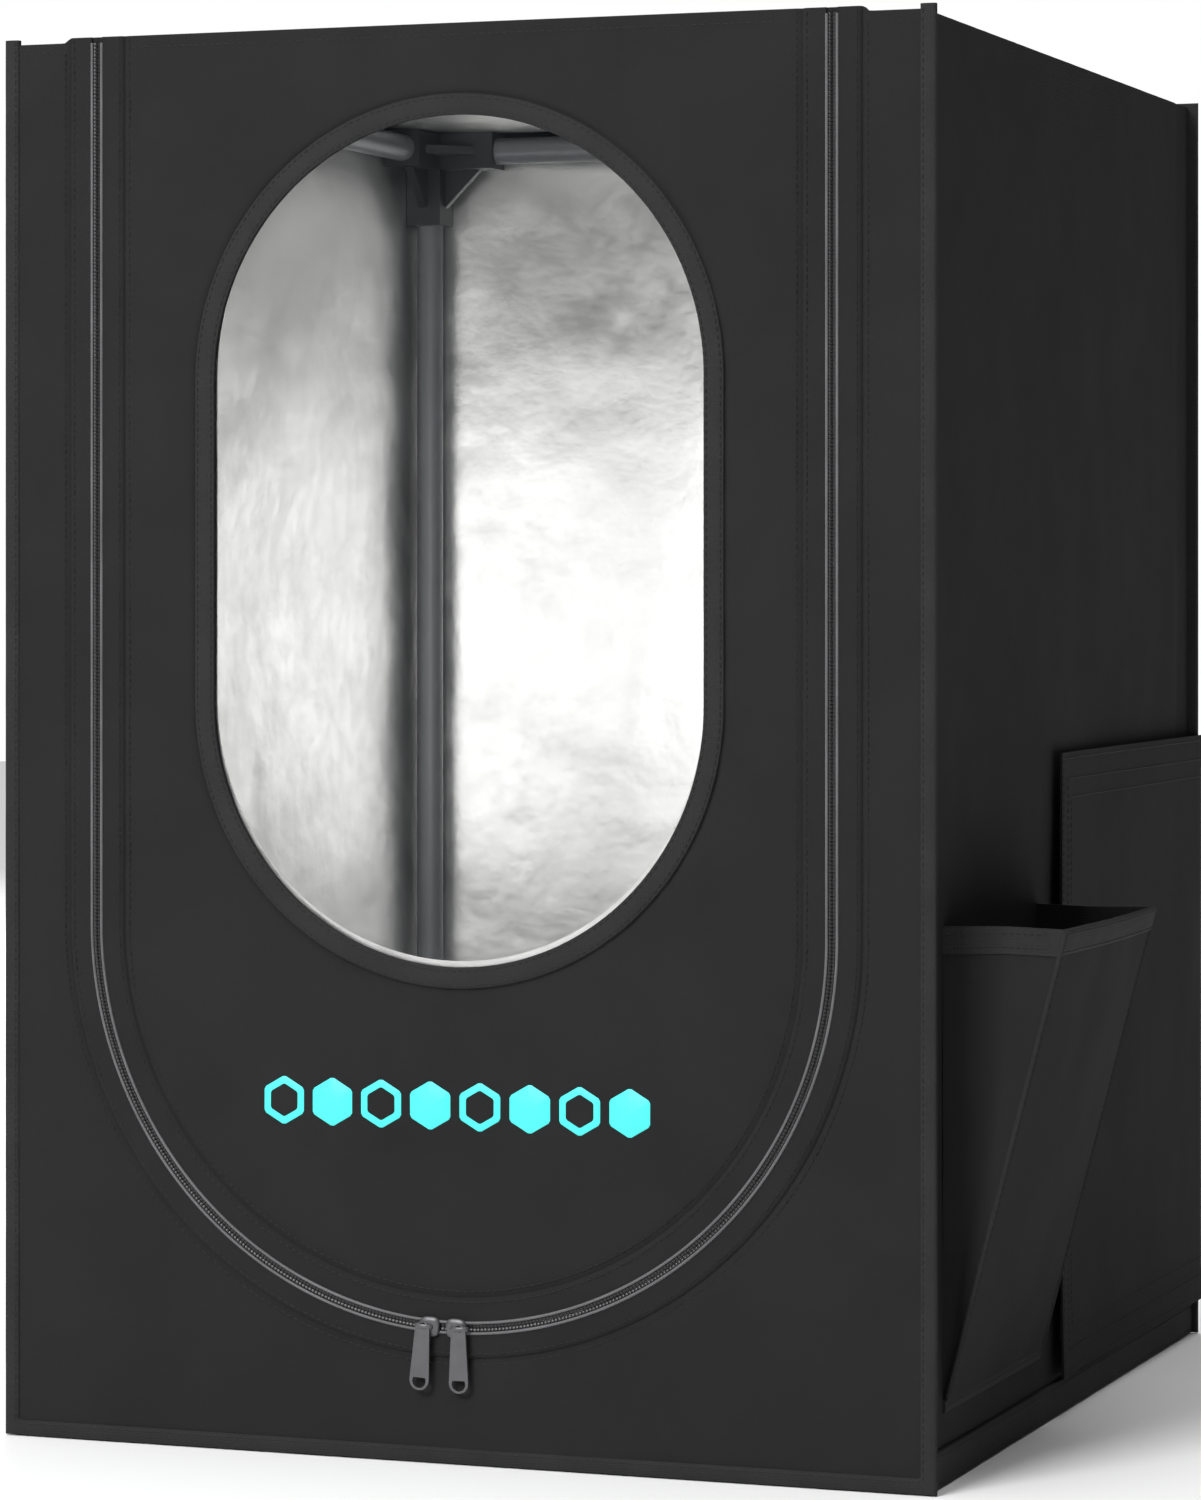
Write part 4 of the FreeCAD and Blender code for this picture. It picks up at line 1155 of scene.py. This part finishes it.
class TENT_OT_bindings(bpy.types.Operator):
    """Binds the corners, the top edges and the hems"""
    bl_idname = "tent.bindings"
    bl_label = "Bindings"

    def execute(self, context):
        self.edge("front_edge_binding", "front_binding", FRONT, TO_FRONT, False)
        self.edge("rear_edge_binding", "rear_binding", BACK, -TO_FRONT, True)
        for side, name in ((-1, "left"), (1, "right")):
            self.hem(side, name)
        self.head()
        return {"FINISHED"}

    def edge(self, name, node, y, face, closed):
        """The bound edge round the front or the back, with its row of stitching."""
        corners = [Vector((-HALF_WIDTH, y, TOP)), Vector((-HALF_WIDTH, y, 0)),
                   Vector((HALF_WIDTH, y, 0)), Vector((HALF_WIDTH, y, TOP))]
        inward = [Vector((1, 0, -1 if closed else 0)), Vector((1, 0, 1.1)), Vector((-1, 0, 1.1)),
                  Vector((-1, 0, -1 if closed else 0))]
        frames = []
        legs = [(0, 1), (1, 2), (2, 3)] + ([(3, 0)] if closed else [])
        for a, b in legs:
            length = (corners[b] - corners[a]).length
            count = round(length / (9 * MM))
            for n in range(count + (0 if closed or b != 3 else 1)):
                share = n / count
                place = corners[a].lerp(corners[b], share)
                along = inward[a] if n == 0 else inward[b] if n == count else self.straight(a)
                swell = 0
                if share not in (0, 1):
                    swell = 0.18 * MM * ripple(share * length, a, 16 * MM, 4.4)
                frames.append((place + face * swell, along, face))
        soup = Soup()
        profile = rounded_profile(BINDING_WIDTH, BINDING_DEPTH, 1.3 * MM, 0.25 * MM, 4)
        sweep(soup, frames, profile, closed_path=closed)
        piece(name, soup, "tape", "tent", [node])
        path = offset_path(frames, BINDING_WIDTH - 1.7 * MM, 0.05 * MM)
        sew(name + "_stitching", "tent", path + ([path[0]] if closed else []))

    def straight(self, leg):
        return (RIGHT, UP, -RIGHT, -UP)[leg]

    def hem(self, side, name):
        """The band at the foot of a side wall."""
        node = f"{name}_hem"
        thick = high(node, X) - low(node, X)
        tall = high(node, Z) - low(node, Z)
        frames = []
        for y in spread(WALL_FRONT, WALL_BACK, 9 * MM):
            swell = 0.3 * MM * ripple(y, side, 18 * MM, 6.6)
            frames.append((Vector((side * (WALL_OUTER + thick + swell - 0.3 * MM), y, 0)), UP,
                           RIGHT * side))
        soup = Soup()
        sweep(soup, frames, rounded_profile(tall, thick, 1.2 * MM, 0.2 * MM))
        piece(name + "_hem_band", soup, "tape", "tent", [node])
        sew(name + "_hem_stitching", "tent", offset_path(frames, 3 * MM, 0.05 * MM),
            offset_path(frames, tall - 2.5 * MM, 0.05 * MM))

    def head(self):
        """The strip over the door's seam, and the stitching along the top edge beside it."""
        node = "door_top_binding"
        half, depth = high(node, X), high(node, Y) - low(node, Y)
        frames = []
        for x in spread(-half, half, 9 * MM):
            swell = 0.2 * MM * ripple(x, 0, 20 * MM, 8.8)
            frames.append((Vector((x, low(node, Y), TOP - 0.1 * MM + swell)), -TO_FRONT, UP))
        soup = Soup()
        sweep(soup, frames, rounded_profile(depth, TOP - ROOF_TOP + 0.6 * MM, 0.8 * MM, 0.2 * MM))
        piece("door_head_strip", soup, "tape", "tent", [node])
        edges = [[(Vector((side * x, CLOTH_FRONT + 0.1 * MM, ROOF_TOP - 5 * MM)), TO_FRONT)
                  for x in spread(half + 2 * MM, WALL_INNER, 8 * MM)] for side in (-1, 1)]
        sew("door_head_stitching", "tent", offset_path(frames, depth - 2 * MM, 0.05 * MM), *edges)


# ---------------------------------------------------------------- pocket and flap
class TENT_OT_pocket(bpy.types.Operator):
    """Sews the bellows pocket on the right wall"""
    bl_idname = "tent.pocket"
    bl_label = "Bellows pocket"

    def execute(self, context):
        self.y_low, self.y_high = low("pocket_panel", Y), high("pocket_panel", Y)
        self.z_low, self.z_high = low("pocket_panel", Z), high("pocket_gusset_front", Z)
        self.foot_x = low("pocket_panel", X)
        self.lean = (high("pocket_gusset_front", X) - WALL_OUTER) / (self.z_high - self.z_low)
        self.front_cloth()
        self.rim()
        self.gusset("front", self.y_low, 1)
        self.gusset("rear", self.y_high, -1)
        self.foot_seam()
        return {"FINISHED"}

    def panel_x(self, z):
        return self.foot_x + (z - self.z_low) * self.lean

    def outward(self):
        return Vector((1, 0, -self.lean)).normalized()

    def front_cloth(self):
        """The leaning cloth, slightly full in the middle, with a corded seam at both ends."""
        soup = Soup()
        rows = []
        out = self.outward()
        top = self.z_high - 1 * MM
        for y in spread(self.y_low, self.y_high, 6 * MM):
            row = []
            for z in spread(self.z_low, top, 6 * MM):
                across = (y - self.y_low) / (self.y_high - self.y_low)
                along = (z - self.z_low) / (top - self.z_low)
                full = 2.6 * MM * math.sin(math.pi * across) * math.sin(math.pi * along) ** 0.8
                full += 1.3 * MM * ripple(y, z, 48 * MM, 13.3) * math.sin(math.pi * across)
                row.append(Vector((self.panel_x(z) + 1.6 * MM, y, z)) + out * full)
            rows.append(row)
        soup.grid(rows)
        made = piece("pocket_front", soup, "cloth", "pocket", ["pocket_panel"],
                     thickness=1.3 * MM, outward=out)
        cord, threads = Soup(), Soup()
        for y, side in ((self.y_low, -1), (self.y_high, 1)):
            frames = [(Vector((self.panel_x(z) + 1.1 * MM, y + side * 0.4 * MM, z)),
                       Vector((0, side, 0)), out) for z in spread(self.z_low + 2 * MM, top, 8 * MM)]
            sweep(cord, frames, round_profile(1.2 * MM, 8))
            stitches(threads, [(place + out * 0.75 * MM - side_way * 3.4 * MM, out)
                               for place, side_way, _ in frames])
        piece("pocket_side_cords", cord, "tape", "pocket")
        piece("pocket_side_stitching", threads, "thread", "pocket", weld=0)

    def rim(self):
        """The folded tape over the pocket's top edge."""
        out = self.outward()
        up = Vector((self.lean, 0, 1)).normalized()
        tall = 13 * MM
        frames = []
        for y in spread(self.y_low, self.y_high, 6 * MM):
            across = (y - self.y_low) / (self.y_high - self.y_low)
            bow = 1.4 * MM * math.sin(math.pi * across) + 0.25 * MM * ripple(y, 0, 15 * MM, 19.9)
            place = Vector((self.panel_x(self.z_high) + 2.3 * MM, y, self.z_high)) + out * bow
            frames.append((place - up * tall, up, out))
        soup = Soup()
        sweep(soup, frames, rounded_profile(tall, 3.2 * MM, 1.2 * MM, 0.15 * MM))
        piece("pocket_rim_tape", soup, "tape", "pocket", ["pocket_rim"])
        sew("pocket_rim_stitching", "pocket", offset_path(frames, 1.8 * MM, 0.05 * MM),
            offset_path(frames, tall - 2 * MM, 0.05 * MM))

    def fold_row(self, edge, inward, z):
        """The folded line across a gusset at a height, from the wall to the front cloth."""
        reach = max(self.panel_x(z) - WALL_OUTER, 1.5 * MM)
        share = (z - self.z_low) / (self.z_high - self.z_low)
        depth = 12 * MM * share
        row = []
        for n in range(17):
            across = n / 16
            crease = 1 - abs(2 * across - 1)
            rounded = crease - 0.06 * dent(crease - 1, 0.12)
            y = edge + inward * (depth * rounded + 0.5 * MM)
            y += 0.5 * MM * ripple(across * 60 * MM, z, 30 * MM, 27.1 + edge)
            row.append(Vector((WALL_OUTER + 0.2 * MM + reach * across, y, z)))
        return row

    def gusset(self, side, edge, inward):
        """One folded end, with its rim tape and its stitching, each on a mesh of its own."""
        soup = Soup()
        heights = spread(self.z_low + 3 * MM, self.z_high - 1 * MM, 7 * MM)
        soup.grid([self.fold_row(edge, inward, z) for z in heights])
        made = piece(f"pocket_gusset_{side}_cloth", soup, "cloth", "tent",
                     [f"pocket_gusset_{side}"], thickness=1.0 * MM, outward=Vector((0, -inward, 0)))
        band = Soup()
        rows = [self.fold_row(edge, inward, z)
                for z in spread(self.z_high - 13 * MM, self.z_high + 0.4 * MM, 3 * MM)]
        grow = Vector((0, -inward * 0.7 * MM, 0))
        band.grid([[point + grow for point in row] for row in rows])
        tape = piece(f"pocket_gusset_{side}_rim", band, "tape", "tent", thickness=2.2 * MM,
                     outward=Vector((0, -inward, 0)))
        lines = [[(point + grow * 1.1, Vector((0, -inward, 0))) for point in row[:-2]]
                 for row in (rows[1], rows[-2])]
        thread = sew(f"pocket_gusset_{side}_stitching", "tent", *lines)
        for soft in (made, tape, thread):
            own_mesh(soft)

    def foot_seam(self):
        """The strip that sews the pocket's foot to the wall."""
        frames = [(Vector((WALL_OUTER + 1.4 * MM, y, self.z_low - 6 * MM)), UP, RIGHT)
                  for y in spread(self.y_low, self.y_high, 8 * MM)]
        soup = Soup()
        sweep(soup, frames, rounded_profile(6.5 * MM, 1.6 * MM, 0.6 * MM, 0.15 * MM))
        piece("pocket_foot_tape", soup, "tape", "tent")
        sew("pocket_foot_stitching", "tent", offset_path(frames, 3 * MM, 0.1 * MM))


class TENT_OT_flap(bpy.types.Operator):
    """Sews the cable-port flap, its hook-and-loop strips and the strip that holds it"""
    bl_idname = "tent.flap"
    bl_label = "Cable-port flap"

    def execute(self, context):
        self.y_front, self.y_hinge = low("side_flap", Y), BACK
        self.z_low, self.z_high = low("side_flap", Z), high("side_flap", Z)
        self.x_front, self.x_hinge = low("side_flap", X), low("side_flap", X) + 3.8 * MM
        self.cloth()
        self.hinge_strip()
        for node in ("flap_hook_strip", "flap_loop_strip"):
            self.strip(node)
        return {"FINISHED"}

    def surface(self, y, z, lift=0.0):
        """A point on the flap's outer face."""
        share = (y - self.y_front) / (self.y_hinge - self.y_front)
        from_edge = min(y - self.y_front, z - self.z_low, self.z_high - z)
        x = self.x_front + (self.x_hinge - self.x_front) * min(share * 1.02, 1) + 1.2 * MM
        curl = 2.2 * MM * math.exp(-(y - self.y_front) / (22 * MM))
        lower = math.exp(-(z - self.z_low) / (35 * MM)) * 1.2 * MM * (1 - share)
        slack = 1.5 * MM * ripple(y, z, 75 * MM, 51.3) * smooth_step(from_edge / (30 * MM))
        slack *= smooth_step((self.y_hinge - y) / (30 * MM))
        border = 0.55 * MM * smooth_step((16 * MM - from_edge) / (1.5 * MM))
        seam = 0.6 * MM * dent(from_edge - 17 * MM, 1.2 * MM)
        return Vector((x + curl + lower + slack + border - seam + lift, y, z))

    def cloth(self):
        """The flap with its turned border, and the bend round the rear corner."""
        soup = Soup()
        ys = spread(self.y_front, self.y_hinge, 5 * MM)
        zs = spread(self.z_low, self.z_high, 5 * MM)
        rows = [[self.surface(y, z) for z in zs] for y in ys]
        corner = [[Vector((self.surface(self.y_hinge, z).x - 0.15 * MM, self.y_hinge + 0.45 * MM, z))
                   for z in zs]]
        soup.grid(rows + corner)
        made = piece("port_flap", soup, "cloth", "flap", ["side_flap"], thickness=1.2 * MM,
                     outward=RIGHT)
        paths = []
        for inset in (3 * MM, 14 * MM, 24 * MM):
            y, z_a, z_b = self.y_front + inset, self.z_low + inset, self.z_high - inset
            y_end = self.y_hinge - 6 * MM
            line = [(y_end, z_a)] + [(u, z_a) for u in spread(y_end, y, 10 * MM)[1:]]
            line += [(y, v) for v in spread(z_a, z_b, 10 * MM)[1:]]
            line += [(u, z_b) for u in spread(y, y_end, 10 * MM)[1:]]
            paths.append([(self.surface(u, v, 0.1 * MM), RIGHT) for u, v in line])
        sew("port_flap_stitching", "flap", *paths)

    def hinge_strip(self):
        """The edge of the flap's cloth that is sewn to the back, with two rows of stitches."""
        node = "flap_hinge_strip"
        frames = []
        for z in spread(self.z_low, self.z_high, 8 * MM):
            swell = 0.2 * MM * ripple(z, 1, 22 * MM, 61.1)
            place = Vector((low(node, X), high(node, Y) - 0.7 * MM + swell, z))
            frames.append((place, RIGHT, -TO_FRONT))
        soup = Soup()
        wide = high(node, X) - low(node, X) - 0.5 * MM
        sweep(soup, frames, rounded_profile(wide, 1.4 * MM, 0.4 * MM, 0.1 * MM))
        piece("flap_hinge_tape", soup, "cloth", "tent", [node])
        sew("flap_hinge_stitching", "tent", offset_path(frames, 3 * MM, 0.1 * MM),
            offset_path(frames, 9 * MM, 0.1 * MM))

    def strip(self, node):
        """A rounded strip of hook or loop tape, standing in for its flat node."""
        y_low, y_high, z_low, z_high = low(node, Y), high(node, Y), low(node, Z), high(node, Z)
        body = "tent" if "hook" in node else "flap"
        soup = Soup()
        frames = []
        for z in spread(z_low, z_high, 6 * MM):
            if body == "tent":
                x = WALL_OUTER + 1.1 * MM
                frames.append((Vector((x, y_low, z)), -TO_FRONT, RIGHT))
            else:
                inner = self.surface((y_low + y_high) / 2, z).x - 1.3 * MM
                frames.append((Vector((inner, y_low, z)), -TO_FRONT, RIGHT))
        sweep(soup, frames, rounded_profile(y_high - y_low, 1.0 * MM, 0.3 * MM, 0.05 * MM))
        piece(node.replace("strip", "tape"), soup, "hooks", body, [node])


# ---------------------------------------------------------------- frame and stage
class TENT_OT_poles(bpy.types.Operator):
    """Finishes the poles and the corner connectors"""
    bl_idname = "tent.poles"
    bl_label = "Poles and connectors"

    def execute(self, context):
        for node in frame["nodes"]:
            kind = {"pole": "pole", "connector": "abs"}.get(node.split("_")[0])
            if kind:
                shown = bpy.data.objects[node]
                shown.data.materials.clear()
                shown.data.materials.append(finish(kind))
        return {"FINISHED"}


CAMERA_PLACE = (0.9194, -2.5678, 0.4460)
CAMERA_TURN = math.radians(20.15)


class TENT_OT_stage(bpy.types.Operator):
    """Sets the camera, the lights and the floor"""
    bl_idname = "tent.stage"
    bl_label = "Stage"

    def execute(self, context):
        settings = context.scene.tent_stage
        lens = bpy.data.cameras.new("camera")
        lens.lens = settings.lens
        lens.sensor_width = 36
        lens.shift_y = settings.drop
        lens.clip_start = 0.05
        lens.clip_end = 50
        camera = bpy.data.objects.new("camera", lens)
        camera.location = CAMERA_PLACE
        camera.rotation_euler = (math.radians(90), 0, CAMERA_TURN)
        context.scene.collection.objects.link(camera)
        context.scene.camera = camera
        self.floor(settings)
        self.world()
        context.scene.view_settings.view_transform = "Standard"
        self.light("key", "AREA", (-0.8, -3.4, 2.3), (0, -0.27, 0.35), settings.key_power, 1.5)
        self.light("back", "AREA", (-1.4, 3.2, 2.2), (0, 0.27, 0.3), settings.key_power * 0.6, 1.5)
        self.light("inside", "AREA", (-0.02, -0.2, 0.4), (-0.04, 0.27, 0.38), settings.inside_power,
                   0.34)
        self.light("top", "SUN", (0, 0, 4), (0, 0.6, 0), settings.top_power, math.radians(50))
        return {"FINISHED"}

    def floor(self, settings):
        """A round sheet of pale paper."""
        made, tree, shader = start_material("matt_paper", Roughness=0.8)
        shader.inputs["Base Color"].default_value = linear(settings.floor)
        fibre = add_node(tree, "ShaderNodeTexNoise", {"Vector": object_place(tree)}, Scale=300.0,
                         Detail=2.0)
        bump_chain(tree, shader, [(fibre.outputs["Fac"], 0.05, 0.2 * MM)])
        soup = Soup()
        turns = [2 * math.pi * n / 96 for n in range(96)]
        soup.grid([[Vector((r * math.cos(a), r * math.sin(a), -0.5 * MM)) for a in turns]
                   for r in (0.001, 9)], closed_across=True)
        mesh = bpy.data.meshes.new("paper_floor")
        mesh.from_pydata([tuple(p) for p in soup.points], [], soup.faces)
        mesh.materials.append(made)
        paper = bpy.data.objects.new("paper_floor", mesh)
        bpy.context.scene.collection.objects.link(paper)

    def world(self):
        """A white studio, whose walls light the tent less brightly than they look."""
        made = bpy.data.worlds.new("studio")
        made.use_nodes = True
        tree = made.node_tree
        seen = add_node(tree, "ShaderNodeLightPath").outputs["Is Camera Ray"]
        strength = add_node(tree, "ShaderNodeMapRange", {"Value": seen}, To_Min=0.11, To_Max=1.0)
        tree.nodes["Background"].inputs["Color"].default_value = (1, 1, 1, 1)
        tree.links.new(strength.outputs["Result"], tree.nodes["Background"].inputs["Strength"])
        bpy.context.scene.world = made

    def light(self, name, kind, place, aim, power, size):
        """A lamp that the camera doesn't see; size is an angle for a sun."""
        lamp = bpy.data.lights.new(name, kind)
        lamp.energy = power
        if kind == "SUN":
            lamp.angle = size
        else:
            lamp.size = size
        made = bpy.data.objects.new(name, lamp)
        made.location = place
        made.visible_camera = False
        made.rotation_euler = (Vector(aim) - Vector(place)).to_track_quat("-Z", "Y").to_euler()
        bpy.context.scene.collection.objects.link(made)


OPERATORS = (TENT_OT_stage, TENT_OT_front, TENT_OT_door, TENT_OT_window, TENT_OT_zip,
             TENT_OT_sliders, TENT_OT_print, TENT_OT_walls, TENT_OT_lining, TENT_OT_bindings,
             TENT_OT_pocket, TENT_OT_flap, TENT_OT_poles)


class TENT_PT_panel(bpy.types.Panel):
    bl_idname = "TENT_PT_panel"
    bl_label = "Printer Enclosure Tent"
    bl_space_type = "VIEW_3D"
    bl_region_type = "UI"
    bl_category = "Tent"

    def draw(self, context):
        for name, group in GROUPS.items():
            box = self.layout.box()
            for key in group.__annotations__:
                box.prop(getattr(context.scene, name), key)
        for operator in OPERATORS:
            self.layout.operator(operator.bl_idname)


CLASSES = (*GROUPS.values(), *OPERATORS, TENT_PT_panel)


def register():
    for item in CLASSES:
        bpy.utils.register_class(item)
    for name, group in GROUPS.items():
        setattr(bpy.types.Scene, name, PointerProperty(type=group))


def unregister():
    for name in GROUPS:
        delattr(bpy.types.Scene, name)
    for item in reversed(CLASSES):
        bpy.utils.unregister_class(item)


def main():
    register()
    for operator in OPERATORS:
        group, name = operator.bl_idname.split(".")
        getattr(getattr(bpy.ops, group), name)()


if __name__ == "__main__":
    main()
